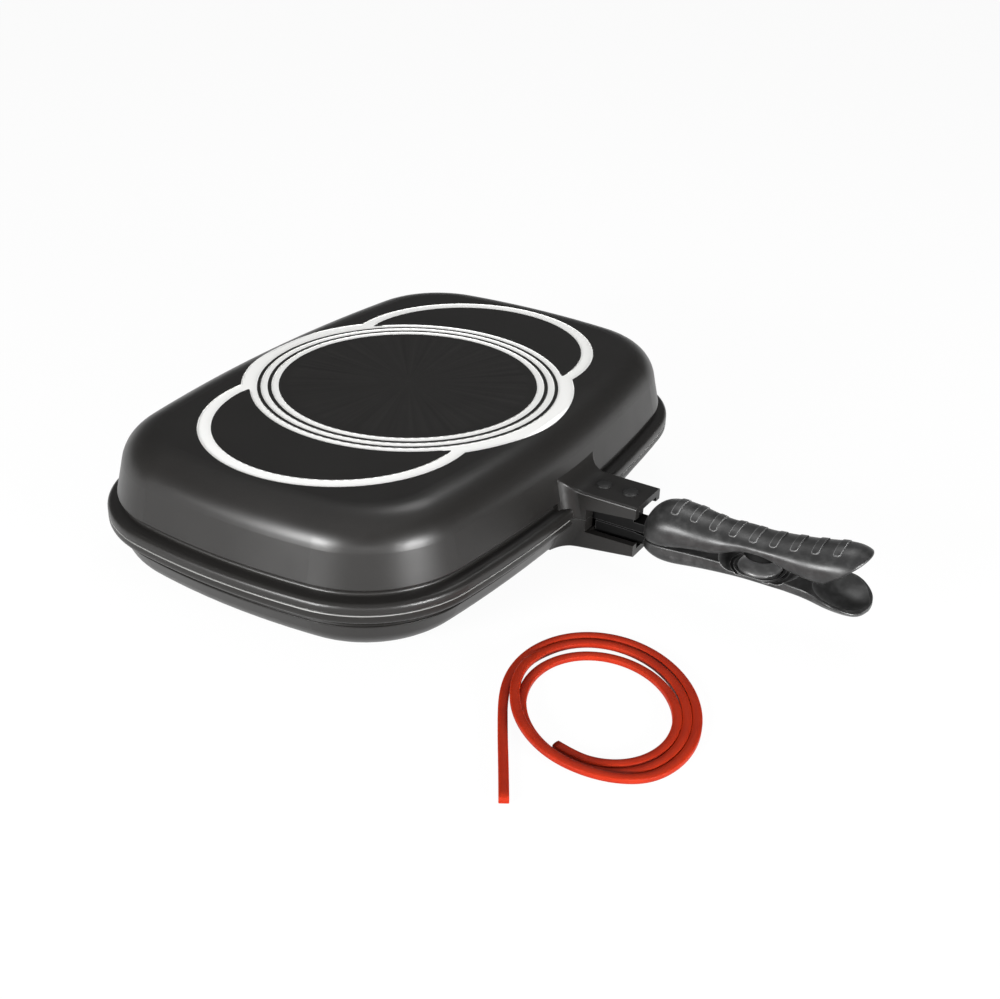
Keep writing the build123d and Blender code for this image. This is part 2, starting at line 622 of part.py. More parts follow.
def upper_tang_line():
    """Side view of the upper tang: block in the trough, level bar, then a climbing tail."""
    start = UPPER_TROUGH_START - TANG_SETBACK
    ceiling = PARTING_Z + UPPER_LUG_FAR - LUG_ROOF
    under = PARTING_Z + UPPER_TANG_UNDER
    Polyline(
        (start, ceiling),
        (TANG_BLOCK_END, ceiling),
        (TANG_BLOCK_END, under + TANG_THICKNESS),
        (TANG_BEND, under + TANG_THICKNESS),
        (UPPER_TANG_END, under + TANG_THICKNESS + UPPER_TANG_RISE),
        (UPPER_TANG_END, under + UPPER_TANG_RISE),
        (TANG_BEND, under),
        (start, under),
        close=True,
    )


def lower_tang_line():
    """Side view of the lower tang: block on the trough's floor, then a slightly thinner tail."""
    start = LOWER_TROUGH_START - TANG_SETBACK
    floor = PARTING_Z - LOWER_LUG_FAR + LUG_ROOF
    top = PARTING_Z + LOWER_TANG_TOP
    tail_under = top - LOWER_TANG_DROP - LOWER_TANG_TAIL
    Polyline(
        (start, top),
        (TANG_BLOCK_END, top),
        (TANG_BEND, top - LOWER_TANG_DROP),
        (LOWER_TANG_END, top - LOWER_TANG_DROP),
        (LOWER_TANG_END, tail_under),
        (TANG_BEND, tail_under),
        (TANG_BLOCK_END, floor),
        (start, floor),
        close=True,
    )


UPPER_HEAD_Z = PARTING_Z + UPPER_LUG_FAR
LOWER_HEAD_Z = PARTING_Z - LOWER_LUG_FAR

with BuildPart() as upper_tang:
    with BuildSketch(Plane.YZ):
        with BuildLine():
            upper_tang_line()
        make_face()
    extrude(amount=TANG_WIDTH / 2, both=True)
    with Locations(*[(0, y, PARTING_Z) for y in UPPER_LUG_SCREWS]):
        Cylinder(LUG_SCREW_RADIUS, 2 * UPPER_LUG_FAR, mode=Mode.SUBTRACT)
    with Locations((0, UPPER_GRIP_SCREW, PARTING_Z)):
        Cylinder(GRIP_SCREW_RADIUS, 2 * UPPER_LUG_FAR, mode=Mode.SUBTRACT)
upper_tang.part.label = "upper_tang"
export_step(upper_tang.part, "parts/upper_tang.step")

with BuildPart() as lower_tang:
    with BuildSketch(Plane.YZ):
        with BuildLine():
            lower_tang_line()
        make_face()
    extrude(amount=TANG_WIDTH / 2, both=True)
    with Locations(*[(0, y, PARTING_Z) for y in LOWER_LUG_SCREWS]):
        Cylinder(LUG_SCREW_RADIUS, 2 * LOWER_LUG_FAR, mode=Mode.SUBTRACT)
    with Locations((0, LOWER_GRIP_SCREW, PARTING_Z)):
        Cylinder(GRIP_SCREW_RADIUS, 2 * LOWER_LUG_FAR, mode=Mode.SUBTRACT)
lower_tang.part.label = "lower_tang"
export_step(lower_tang.part, "parts/lower_tang.step")


# ================================================================ screws
def domed_screws(places, head_z, tip_z, radius, head_radius, head_height):
    """Screws along Z, one at each y: a plain shank, and a domed head on head_z, away from tip_z."""
    out = 1 if head_z > tip_z else -1
    edge_z = head_z + out * 0.4 * head_height
    crown_z = head_z + out * head_height
    with BuildPart() as screws:
        for y in places:
            with BuildSketch(Plane(origin=(0, y, 0), x_dir=(1, 0, 0), z_dir=(0, -1, 0))):
                with BuildLine():
                    Polyline(
                        (0, crown_z),
                        (0, tip_z),
                        (radius, tip_z),
                        (radius, head_z),
                        (head_radius, head_z),
                        (head_radius, edge_z),
                    )
                    Bezier(
                        (head_radius, edge_z),
                        (head_radius, crown_z),
                        (0.5 * head_radius, crown_z),
                        (0, crown_z),
                    )
                make_face()
            revolve(axis=Axis((0, y, 0), (0, 0, 1)))
    return screws


upper_lug_screws = domed_screws(
    UPPER_LUG_SCREWS,
    UPPER_HEAD_Z,
    PARTING_Z + UPPER_TANG_UNDER + LUG_SCREW_TIP,
    LUG_SCREW_RADIUS,
    LUG_SCREW_HEAD_RADIUS,
    LUG_SCREW_HEAD_HEIGHT,
)
upper_lug_screws.part.label = "upper_lug_screws"
export_step(upper_lug_screws.part, "parts/upper_lug_screws.step")

lower_lug_screws = domed_screws(
    LOWER_LUG_SCREWS,
    LOWER_HEAD_Z,
    PARTING_Z + LOWER_TANG_TOP - LUG_SCREW_TIP,
    LUG_SCREW_RADIUS,
    LUG_SCREW_HEAD_RADIUS,
    LUG_SCREW_HEAD_HEIGHT,
)
lower_lug_screws.part.label = "lower_lug_screws"
export_step(lower_lug_screws.part, "parts/lower_lug_screws.step")


# ================================================================ grips
def grip_plane(along):
    """Plane across a grip: local x is the row's X, local y is height from the parting plane."""
    return Plane(origin=(0, GRIP_FRONT - along, PARTING_Z), x_dir=(1, 0, 0), z_dir=(0, -1, 0))


def turning_plane(y):
    """Half plane of a turned piece on a vertical axis at y: local x is radius, local y is height."""
    return Plane(origin=(0, y, PARTING_Z), x_dir=(1, 0, 0), z_dir=(0, -1, 0))


def screw_hole(y, seat):
    """Cut a grip screw's hole from below: shank hole up to the tang and a sunk seat for the head."""
    with Locations((0, y, PARTING_Z + seat)):
        Cylinder(GRIP_SCREW_RADIUS, 4 * GRIP_SCREW_SEAT, mode=Mode.SUBTRACT)
    with Locations((0, y, PARTING_Z + seat)):
        Cylinder(
            GRIP_SCREW_HEAD_RADIUS + HEAD_CLEARANCE,
            GRIP_SCREW_HEAD_DEPTH,
            align=(Align.CENTER, Align.CENTER, Align.MAX),
            mode=Mode.SUBTRACT,
        )


def upper_grip_loft(raised=0.0):
    """Loft of the upper grip: flat inner face, straight sides and an elliptical crown."""
    with BuildPart() as grip:
        for s in UPPER_GRIP:
            with BuildSketch(grip_plane(s.along)) as section:
                with BuildLine():
                    Line((s.half_width, s.side), (s.half_width, s.inner))
                    Line((s.half_width, s.inner), (-s.half_width, s.inner))
                    Line((-s.half_width, s.inner), (-s.half_width, s.side))
                    EllipticalCenterArc((0, s.side), s.half_width, s.crown + raised - s.side, arc_size=180)
                make_face()
                fillet(section.vertices().group_by(Axis.Y)[0], s.inner_round)
        loft()
    return grip.part


def lower_grip_loft():
    """Loft of the lower grip: flat inner face, and an underside that thins to the spoon's rim."""
    with BuildPart() as grip:
        for s in LOWER_GRIP:
            with BuildSketch(grip_plane(s.along)) as section:
                with BuildLine():
                    Polyline((0, s.inner), (s.half_width, s.inner), (s.half_width, s.side))
                    Bezier((s.half_width, s.side), (s.bend, s.crown), (s.flat, s.crown))
                    Line((s.flat, s.crown), (0, s.crown))
                    mirror(about=Plane.YZ)
                make_face()
                fillet(section.vertices().group_by(Axis.Y)[-1].group_by(Axis.X)[0], HULL_EDGE)
                fillet(section.vertices().group_by(Axis.Y)[-1].group_by(Axis.X)[-1], HULL_EDGE)
        loft()
    return grip.part


UPPER_GRIP_SEAT = (
    UPPER_TANG_UNDER
    + UPPER_TANG_RISE * (TANG_BEND - UPPER_GRIP_SCREW) / (TANG_BEND - UPPER_TANG_END)
    - GRIP_SCREW_SEAT
)
LOWER_GRIP_SEAT = LOWER_TANG_TOP - LOWER_TANG_DROP - LOWER_TANG_TAIL - GRIP_SCREW_SEAT

with BuildPart() as upper_handle:
    add(upper_grip_loft())
    # bevelled end
    bevel = Plane(
        origin=(0, GRIP_BEVEL_TOP[0], PARTING_Z + GRIP_BEVEL_TOP[1]),
        x_dir=(1, 0, 0),
        z_dir=(0, GRIP_BEVEL_UNDER[1] - GRIP_BEVEL_TOP[1], GRIP_BEVEL_TOP[0] - GRIP_BEVEL_UNDER[0]),
    )
    split(bisect_by=bevel, keep=Keep.BOTTOM)
    fillet(upper_handle.faces().sort_by(Axis.Y)[0].edges(), GRIP_BEVEL_EDGE)
    # ribs across the crown
    with BuildPart(mode=Mode.PRIVATE) as crown_ribs:
        with BuildSketch(Plane.XY.offset(PARTING_Z + GRIP_RIB_ROOT)):
            with Locations(*[(0, GRIP_RIB_FIRST - n * GRIP_RIB_PITCH) for n in range(GRIP_RIB_COUNT)]):
                RectangleRounded(GRIP_RIB_LENGTH, GRIP_RIB_WIDTH, GRIP_RIB_CORNER)
        extrude(amount=UPPER_DEPTH)
        add(upper_grip_loft(GRIP_RIB_HEIGHT), mode=Mode.INTERSECT)
    add(crown_ribs.part)
    # pocket for the tang
    with BuildSketch(Plane.YZ):
        with BuildLine():
            upper_tang_line()
        make_face()
        offset(amount=TANG_POCKET_CLEARANCE, kind=Kind.INTERSECTION)
    extrude(amount=TANG_WIDTH / 2 + TANG_POCKET_CLEARANCE, both=True, mode=Mode.SUBTRACT)
    # seat of the magnet cap, and screw hole from the inner face
    with Locations((0, MAGNET_Y, PARTING_Z)):
        Cylinder(
            UPPER_CAP_RADIUS,
            UPPER_CAP_SEAT,
            align=(Align.CENTER, Align.CENTER, Align.MIN),
            mode=Mode.SUBTRACT,
        )
    screw_hole(UPPER_GRIP_SCREW, UPPER_GRIP_SEAT)
upper_handle.part.label = "upper_handle"
export_step(upper_handle.part, "parts/upper_handle.step")

with BuildPart() as lower_handle:
    add(lower_grip_loft())
    # pocket for the tang
    with BuildSketch(Plane.YZ):
        with BuildLine():
            lower_tang_line()
        make_face()
        offset(amount=TANG_POCKET_CLEARANCE, kind=Kind.INTERSECTION)
    extrude(amount=TANG_WIDTH / 2 + TANG_POCKET_CLEARANCE, both=True, mode=Mode.SUBTRACT)
    # hollow of the spoon tip
    with Locations((0, SPOON_CENTRE, PARTING_Z + SPOON_FLOOR + SPOON_RADIUS)):
        Sphere(SPOON_RADIUS, mode=Mode.SUBTRACT)
    # stepped dish round the magnet, and the seat of its cap
    step_outer, step_mid, step_inner = DISH_STEP_RADII
    with BuildSketch(turning_plane(MAGNET_Y)):
        with BuildLine():
            Polyline(
                (step_outer, DISH_FLOOR + DISH_STEP),
                (step_mid, DISH_FLOOR + DISH_STEP),
                (step_mid, DISH_FLOOR),
                (step_inner, DISH_FLOOR),
                (step_inner, DISH_FLOOR + DISH_STEP),
                (LOWER_CAP_RADIUS + DISH_STEP, DISH_FLOOR + DISH_STEP),
                (LOWER_CAP_RADIUS + LOWER_CAP_CLEARANCE, DISH_FLOOR),
                (LOWER_CAP_RADIUS + LOWER_CAP_CLEARANCE, LOWER_CAP_SEAT),
                (0, LOWER_CAP_SEAT),
                (0, UPPER_CAP_SEAT),
                (DISH_RADIUS, UPPER_CAP_SEAT),
                (DISH_RADIUS, DISH_RIM),
            )
            ThreePointArc(
                (DISH_RADIUS, DISH_RIM),
                (0.35 * DISH_RADIUS + 0.65 * step_outer, 0.7 * DISH_FLOOR + 0.3 * DISH_RIM),
                (step_outer, DISH_FLOOR + DISH_STEP),
            )
        make_face()
    revolve(axis=Axis((0, MAGNET_Y, 0), (0, 0, 1)), mode=Mode.SUBTRACT)
    # screw hole from the underside
    screw_hole(LOWER_GRIP_SCREW, LOWER_GRIP_SEAT)
lower_handle.part.label = "lower_handle"
export_step(lower_handle.part, "parts/lower_handle.step")

upper_handle_screw = domed_screws(
    [UPPER_GRIP_SCREW],
    PARTING_Z + UPPER_GRIP_SEAT,
    PARTING_Z + UPPER_GRIP_SEAT + GRIP_SCREW_SEAT + UPPER_GRIP_BITE,
    GRIP_SCREW_RADIUS,
    GRIP_SCREW_HEAD_RADIUS,
    GRIP_SCREW_HEAD_HEIGHT,
)
upper_handle_screw.part.label = "upper_handle_screw"
export_step(upper_handle_screw.part, "parts/upper_handle_screw.step")

lower_handle_screw = domed_screws(
    [LOWER_GRIP_SCREW],
    PARTING_Z + LOWER_GRIP_SEAT,
    PARTING_Z + LOWER_GRIP_SEAT + GRIP_SCREW_SEAT + LOWER_GRIP_BITE,
    GRIP_SCREW_RADIUS,
    GRIP_SCREW_HEAD_RADIUS,
    GRIP_SCREW_HEAD_HEIGHT,
)
lower_handle_screw.part.label = "lower_handle_screw"
export_step(lower_handle_screw.part, "parts/lower_handle_screw.step")

# ================================================================ magnets and their caps
LOWER_MAGNET_TOP = LOWER_CAP_TOP - CAP_WALL
UPPER_CAP_UNDER = LOWER_CAP_TOP + CAP_GAP
UPPER_MAGNET_UNDER = UPPER_CAP_UNDER + CAP_WALL

with BuildPart() as lower_magnet:
    with Locations((0, MAGNET_Y, PARTING_Z + (LOWER_CAP_SEAT + LOWER_MAGNET_TOP) / 2)):
        Cylinder(MAGNET_RADIUS, LOWER_MAGNET_TOP - LOWER_CAP_SEAT)
lower_magnet.part.label = "lower_magnet"
export_step(lower_magnet.part, "parts/lower_magnet.step")

with BuildPart() as upper_magnet:
    with Locations((0, MAGNET_Y, PARTING_Z + (UPPER_CAP_SEAT + UPPER_MAGNET_UNDER) / 2)):
        Cylinder(MAGNET_RADIUS, UPPER_CAP_SEAT - UPPER_MAGNET_UNDER)
upper_magnet.part.label = "upper_magnet"
export_step(upper_magnet.part, "parts/upper_magnet.step")

with BuildPart() as lower_magnet_cap:
    with BuildSketch(turning_plane(MAGNET_Y)):
        with BuildLine():
            Polyline(
                (0, LOWER_CAP_TOP),
                (0, LOWER_MAGNET_TOP),
                (MAGNET_RADIUS, LOWER_MAGNET_TOP),
                (MAGNET_RADIUS, LOWER_CAP_SEAT),
                (LOWER_CAP_RADIUS, LOWER_CAP_SEAT),
                (LOWER_CAP_RADIUS, LOWER_CAP_EDGE),
            )
            Bezier(
                (LOWER_CAP_RADIUS, LOWER_CAP_EDGE),
                (LOWER_CAP_RADIUS, 0.4 * LOWER_CAP_EDGE + 0.6 * LOWER_CAP_TOP),
                (0.6 * LOWER_CAP_RADIUS, LOWER_CAP_TOP),
                (0, LOWER_CAP_TOP),
            )
        make_face()
    revolve(axis=Axis((0, MAGNET_Y, 0), (0, 0, 1)))
lower_magnet_cap.part.label = "lower_magnet_cap"
export_step(lower_magnet_cap.part, "parts/lower_magnet_cap.step")

with BuildPart() as upper_magnet_cap:
    with BuildSketch(turning_plane(MAGNET_Y)):
        with BuildLine():
            Polyline(
                (UPPER_CAP_RADIUS, UPPER_CAP_UNDER + UPPER_CAP_ROUND),
                (UPPER_CAP_RADIUS, UPPER_CAP_SEAT),
                (MAGNET_RADIUS, UPPER_CAP_SEAT),
                (MAGNET_RADIUS, UPPER_MAGNET_UNDER),
                (0, UPPER_MAGNET_UNDER),
                (0, UPPER_CAP_UNDER),
                (UPPER_CAP_RADIUS - UPPER_CAP_ROUND, UPPER_CAP_UNDER),
            )
            TangentArc(
                (UPPER_CAP_RADIUS - UPPER_CAP_ROUND, UPPER_CAP_UNDER),
                (UPPER_CAP_RADIUS, UPPER_CAP_UNDER + UPPER_CAP_ROUND),
                tangent=(1, 0),
            )
        make_face()
    revolve(axis=Axis((0, MAGNET_Y, 0), (0, 0, 1)))
upper_magnet_cap.part.label = "upper_magnet_cap"
export_step(upper_magnet_cap.part, "parts/upper_magnet_cap.step")

# ================================================================ hinge
BARREL_END = OUTER_KNUCKLE_X + OUTER_KNUCKLE_LENGTH / 2
CLIP_START = BARREL_END + CLIP_PLAY
PIN_END = CLIP_START + CLIP_THICKNESS + PIN_TAIL


def across_hinge(x):
    """Plane across the hinge pin at x."""
    return Plane(origin=(x, HINGE_Y, PARTING_Z), x_dir=(0, 1, 0), z_dir=(1, 0, 0))


with BuildPart() as hinge_pin:
    with BuildSketch(across_hinge(-BARREL_END)):
        Circle(PIN_RADIUS)
    extrude(amount=BARREL_END + PIN_END)
    with BuildSketch(across_hinge(-BARREL_END)):
        Circle(PIN_HEAD_RADIUS)
    extrude(amount=-PIN_HEAD_LENGTH)
    fillet(hinge_pin.faces().sort_by(Axis.X)[0].edges(), 0.4 * PIN_HEAD_LENGTH)
    chamfer(hinge_pin.faces().sort_by(Axis.X)[-1].edges(), 0.2 * PIN_RADIUS)
    with BuildSketch(across_hinge(CLIP_START)):
        Circle(PIN_HEAD_RADIUS)
        Circle(CLIP_GROOVE_RADIUS, mode=Mode.SUBTRACT)
    extrude(amount=CLIP_THICKNESS, mode=Mode.SUBTRACT)
hinge_pin.part.label = "hinge_pin"
export_step(hinge_pin.part, "parts/hinge_pin.step")

with BuildPart() as hinge_clip:
    with BuildSketch(across_hinge(CLIP_START)):
        Circle(CLIP_RADIUS)
        Circle(CLIP_GROOVE_RADIUS, mode=Mode.SUBTRACT)
        with Locations((0, -CLIP_RADIUS / 2)):
            Rectangle(1.5 * CLIP_GROOVE_RADIUS, CLIP_RADIUS, mode=Mode.SUBTRACT)
    extrude(amount=CLIP_THICKNESS)
hinge_clip.part.label = "hinge_clip"
export_step(hinge_clip.part, "parts/hinge_clip.step")

with BuildPart() as hinge_washers:
    for x in (-LID_KNUCKLE_HALF - KNUCKLE_GAP / 2, LID_KNUCKLE_HALF + KNUCKLE_GAP / 2):
        with BuildSketch(across_hinge(x)):
            Circle(WASHER_RADIUS)
            Circle(PIN_RADIUS, mode=Mode.SUBTRACT)
        extrude(amount=WASHER_THICKNESS / 2, both=True)
hinge_washers.part.label = "hinge_washers"
export_step(hinge_washers.part, "parts/hinge_washers.step")

# ================================================================ spare seal on the table
with BuildPart() as spare_seal_coil:
    with BuildSketch():
        with Locations(Location((*COIL_CENTRE, 0), (0, 0, COIL_TURN))):
            Ellipse(*COIL_OUTER)
            Ellipse(*COIL_INNER, mode=Mode.SUBTRACT)
    extrude(amount=SEAL_FOOT + SEAL_CROWN)
spare_seal_coil.part.label = "spare_seal_coil"
export_step(spare_seal_coil.part, "parts/spare_seal_coil.step")


def route_radii(route):
    """Radius of the arc at each inner point of a route: as large as its two runs allow."""
    radii = []
    for before, corner, after in zip(route, route[1:], route[2:]):
        arrive = Vector(*corner) - Vector(*before)
        leave = Vector(*after) - Vector(*corner)
        turn = radians(arrive.get_angle(leave))
        radii.append(0.45 * min(arrive.length, leave.length) / tan(turn / 2))
    return radii


TAIL_RADII = route_radii(TAIL_ROUTE)
print("radii of the spare seal's tail:", [round(radius, 1) for radius in TAIL_RADII])

with BuildPart() as spare_seal_tail:
    with BuildLine() as tail_path:
        FilletPolyline(*TAIL_ROUTE, radius=TAIL_RADII)
    along = tail_path.line % 0
    with BuildSketch(Plane(tail_path.line @ 0, x_dir=(-along.Y, along.X, 0), z_dir=along)):
        with BuildLine():
            seal_section(0, 0, SEAL_FOOT + SEAL_CROWN)
        make_face()
    sweep()
spare_seal_tail.part.label = "spare_seal_tail"
export_step(spare_seal_tail.part, "parts/spare_seal_tail.step")
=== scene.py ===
"""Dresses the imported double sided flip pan: coatings, grips, seals, studio and camera.

Every length is in metres, unless its class says millimetres, and every piece lies in the row
frame: +Z up, the grips towards -Y, the hinge on +Y and the origin at the centre of the lower pan's
flat base.
"""

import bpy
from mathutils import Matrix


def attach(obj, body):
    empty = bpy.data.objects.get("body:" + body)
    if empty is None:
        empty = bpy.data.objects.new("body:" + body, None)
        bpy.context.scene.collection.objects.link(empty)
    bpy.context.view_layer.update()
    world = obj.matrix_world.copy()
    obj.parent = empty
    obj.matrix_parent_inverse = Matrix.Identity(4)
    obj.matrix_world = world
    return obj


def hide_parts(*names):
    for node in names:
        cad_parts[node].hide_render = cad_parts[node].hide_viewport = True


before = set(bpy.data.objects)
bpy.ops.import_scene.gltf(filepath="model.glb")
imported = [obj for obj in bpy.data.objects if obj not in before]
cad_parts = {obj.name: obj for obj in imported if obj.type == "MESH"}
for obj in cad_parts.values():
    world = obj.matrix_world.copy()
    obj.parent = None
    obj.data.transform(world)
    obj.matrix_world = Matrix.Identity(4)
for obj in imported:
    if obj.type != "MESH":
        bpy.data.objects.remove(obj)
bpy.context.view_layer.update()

import logging
import math
from dataclasses import dataclass
from enum import Enum
from functools import cache

import bpy
import numpy as np
from mathutils import Matrix, Vector

log = logging.getLogger("flip_pan")

MM = 0.001

Socket = bpy.types.NodeSocket
Value = float | Socket
Triple = tuple[float, float, float]
Colour = tuple[float, float, float, float]
Span = tuple[float, float]


class Side(Enum):
    """The two halves of the pan, as the names of their nodes begin."""

    LOWER = "lower"
    UPPER = "upper"


# ------------------------------------------------------------------------------ node graphs
class Graph:
    """A node material under construction, with short calls for the nodes that repeat.

    EDGE_MATCH holds cosines between a rounded and a true normal: up to the first is a crisp edge,
    and from the second on the face is smooth.
    """

    EDGE_SAMPLES = 12
    EDGE_MATCH = (0.75, 0.99)

    def __init__(self, name: str) -> None:
        """Starts an empty material.

        Args:
            name: The material's name.
        """
        self.material = bpy.data.materials.new(name)
        self.material.use_nodes = True
        self.start(self.material.node_tree)

    def start(self, tree: bpy.types.NodeTree) -> None:
        """Empties a node tree and adds its coordinates.

        Args:
            tree: The tree to build in.
        """
        self.tree = tree
        self.tree.nodes.clear()
        coordinates = self.node("ShaderNodeTexCoord")
        self.place = coordinates.outputs["Object"]
        self.facing = coordinates.outputs["Normal"]

    @classmethod
    def of_world(cls, world: bpy.types.World) -> "Graph":
        """Starts the graph of a world, whose coordinates are the directions of its rays.

        Args:
            world: The world, with nodes.

        Returns:
            The empty graph.
        """
        graph = cls.__new__(cls)
        graph.material = None
        graph.start(world.node_tree)
        return graph

    def node(self, kind: str, inputs: dict | None = None, **settings: object) -> bpy.types.Node:
        """Adds one node.

        Args:
            kind: The node's Blender type.
            inputs: Values or sockets by input name or index.
            **settings: The node's own properties.

        Returns:
            The new node.
        """
        made = self.tree.nodes.new(kind)
        for key, value in settings.items():
            setattr(made, key, value)
        for key, value in (inputs or {}).items():
            if isinstance(value, Socket):
                self.tree.links.new(value, made.inputs[key])
            else:
                made.inputs[key].default_value = value
        return made

    def axis(self, index: int) -> Socket:
        """One of the object's own coordinates, in metres: 0 for x, 1 for y and 2 for z."""
        return self.node("ShaderNodeSeparateXYZ", {0: self.place}).outputs[index]

    def math(self, operation: str, *values: Value) -> Socket:
        """Adds a Math node.

        Args:
            operation: Blender's name of the operation.
            *values: Its inputs, numbers or sockets.

        Returns:
            The node's result.
        """
        return self.node("ShaderNodeMath", dict(enumerate(values)), operation=operation).outputs[0]

    def scale(self, vector: Socket, factor: Value) -> Socket:
        """A vector or colour times a number."""
        made = self.node("ShaderNodeVectorMath", {0: vector, 3: factor}, operation="SCALE")
        return made.outputs[0]

    def noise(
        self, scale: float, detail: float, roughness: float, place: Socket | None = None
    ) -> Socket:
        """Adds a noise.

        Args:
            scale: Noise scale, in cells per metre.
            detail: Number of finer layers.
            roughness: Weight of the finer layers.
            place: Coordinates it is read at, or None for the object's own.

        Returns:
            The noise's value, about 0.5 on average.
        """
        inputs = {
            "Vector": self.place if place is None else place,
            "Scale": scale,
            "Detail": detail,
            "Roughness": roughness,
        }
        return self.node("ShaderNodeTexNoise", inputs).outputs["Fac"]

    def spread(
        self, value: Socket, low: float, high: float, to_low: float, to_high: float
    ) -> Socket:
        """Maps a value from one range to another, clamped.

        Args:
            value: The socket to map.
            low: Start of its range.
            high: End of its range.
            to_low: What low becomes.
            to_high: What high becomes.

        Returns:
            The mapped value.
        """
        made = self.node("ShaderNodeMapRange", {0: value, 1: low, 2: high, 3: to_low, 4: to_high})
        return made.outputs[0]

    def blend(self, share: Socket, first: Socket | Colour, second: Socket | Colour) -> Socket:
        """Mixes two colours.

        Args:
            share: 0 for the first colour, 1 for the second.
            first: A colour or a socket.
            second: A colour or a socket.

        Returns:
            The mixed colour.
        """
        made = self.node("ShaderNodeMix", {0: share, 6: first, 7: second}, data_type="RGBA")
        return made.outputs[2]

    def bump(
        self, height: Socket, distance: float, strength: float, below: Socket | None = None
    ) -> Socket:
        """Adds a bump.

        Args:
            height: Height socket, 0 to 1.
            distance: Height of 1, in metres.
            strength: Share of the bump that shows.
            below: Another bump's normal, or None.

        Returns:
            The bumped normal.
        """
        inputs = {"Height": height, "Distance": distance, "Strength": strength}
        if below is not None:
            inputs["Normal"] = below
        return self.node("ShaderNodeBump", inputs).outputs[0]

    def edges(self, radius: float) -> Socket:
        """Finds the crisp edges, where a rounded normal leaves the true one.

        Args:
            radius: Reach of the rounding, in metres.

        Returns:
            1 on a crisp edge and 0 on smooth faces.
        """
        rounded = self.node("ShaderNodeBevel", {"Radius": radius}, samples=self.EDGE_SAMPLES)
        true = self.node("ShaderNodeNewGeometry").outputs["Normal"]
        normals = {0: rounded.outputs[0], 1: true}
        match = self.node("ShaderNodeVectorMath", normals, operation="DOT_PRODUCT")
        return self.spread(match.outputs["Value"], *self.EDGE_MATCH, 1.0, 0.0)

    def finish(self, **inputs: object) -> bpy.types.Material:
        """Closes the material with a Principled shader.

        Args:
            **inputs: Shader inputs, with underscores for spaces.

        Returns:
            The finished material.
        """
        named = {key.replace("_", " "): value for key, value in inputs.items()}
        shader = self.node("ShaderNodeBsdfPrincipled", named)
        self.node("ShaderNodeOutputMaterial", {"Surface": shader.outputs[0]})
        return self.material


def colour(red: float, green: float, blue: float) -> Colour:
    """Turns display values from 0 to 255 into a linear colour.

    Args:
        red: Red as displayed.
        green: Green as displayed.
        blue: Blue as displayed.

    Returns:
        Linear red, green and blue, and 1.
    """
    shown = np.array([red, green, blue]) / 255.0
    linear = np.where(shown <= 0.04045, shown / 12.92, ((shown + 0.055) / 1.055) ** 2.4)
    return (*(float(value) for value in linear), 1.0)


@dataclass(frozen=True)
class Grain:
    """One layer of noise, in cells per metre, and the part of its range that counts."""

    scale: float
    detail: float
    low: float = 0.3
    high: float = 0.7
    roughness: float = 0.55

    def value(self, graph: Graph, place: Socket | None = None) -> Socket:
        """Adds the layer.

        Args:
            graph: The material that it belongs to.
            place: Coordinates it is read at, or None for the object's own.

        Returns:
            The noise's value, about 0.5 on average.
        """
        return graph.noise(self.scale, self.detail, self.roughness, place)

    def spread(self, graph: Graph, to_low: float, to_high: float) -> Socket:
        """Adds the layer and maps the part of its range that counts, clamped.

        Args:
            graph: The material that it belongs to.
            to_low: What the low end becomes.
            to_high: What the high end becomes.

        Returns:
            The mapped value.
        """
        return graph.spread(self.value(graph), self.low, self.high, to_low, to_high)


@dataclass(frozen=True)
class Relief:
    """A grain that stands out of the surface: its depth in metres, and the share that shows."""

    grain: Grain
    depth: float
    share: float

    def normal(self, graph: Graph, below: Socket | None = None) -> Socket:
        """Adds the relief.

        Args:
            graph: The material that it belongs to.
            below: Normal of a relief underneath, or None.

        Returns:
            The bumped normal.
        """
        return graph.bump(self.grain.value(graph), self.depth, self.share, below)


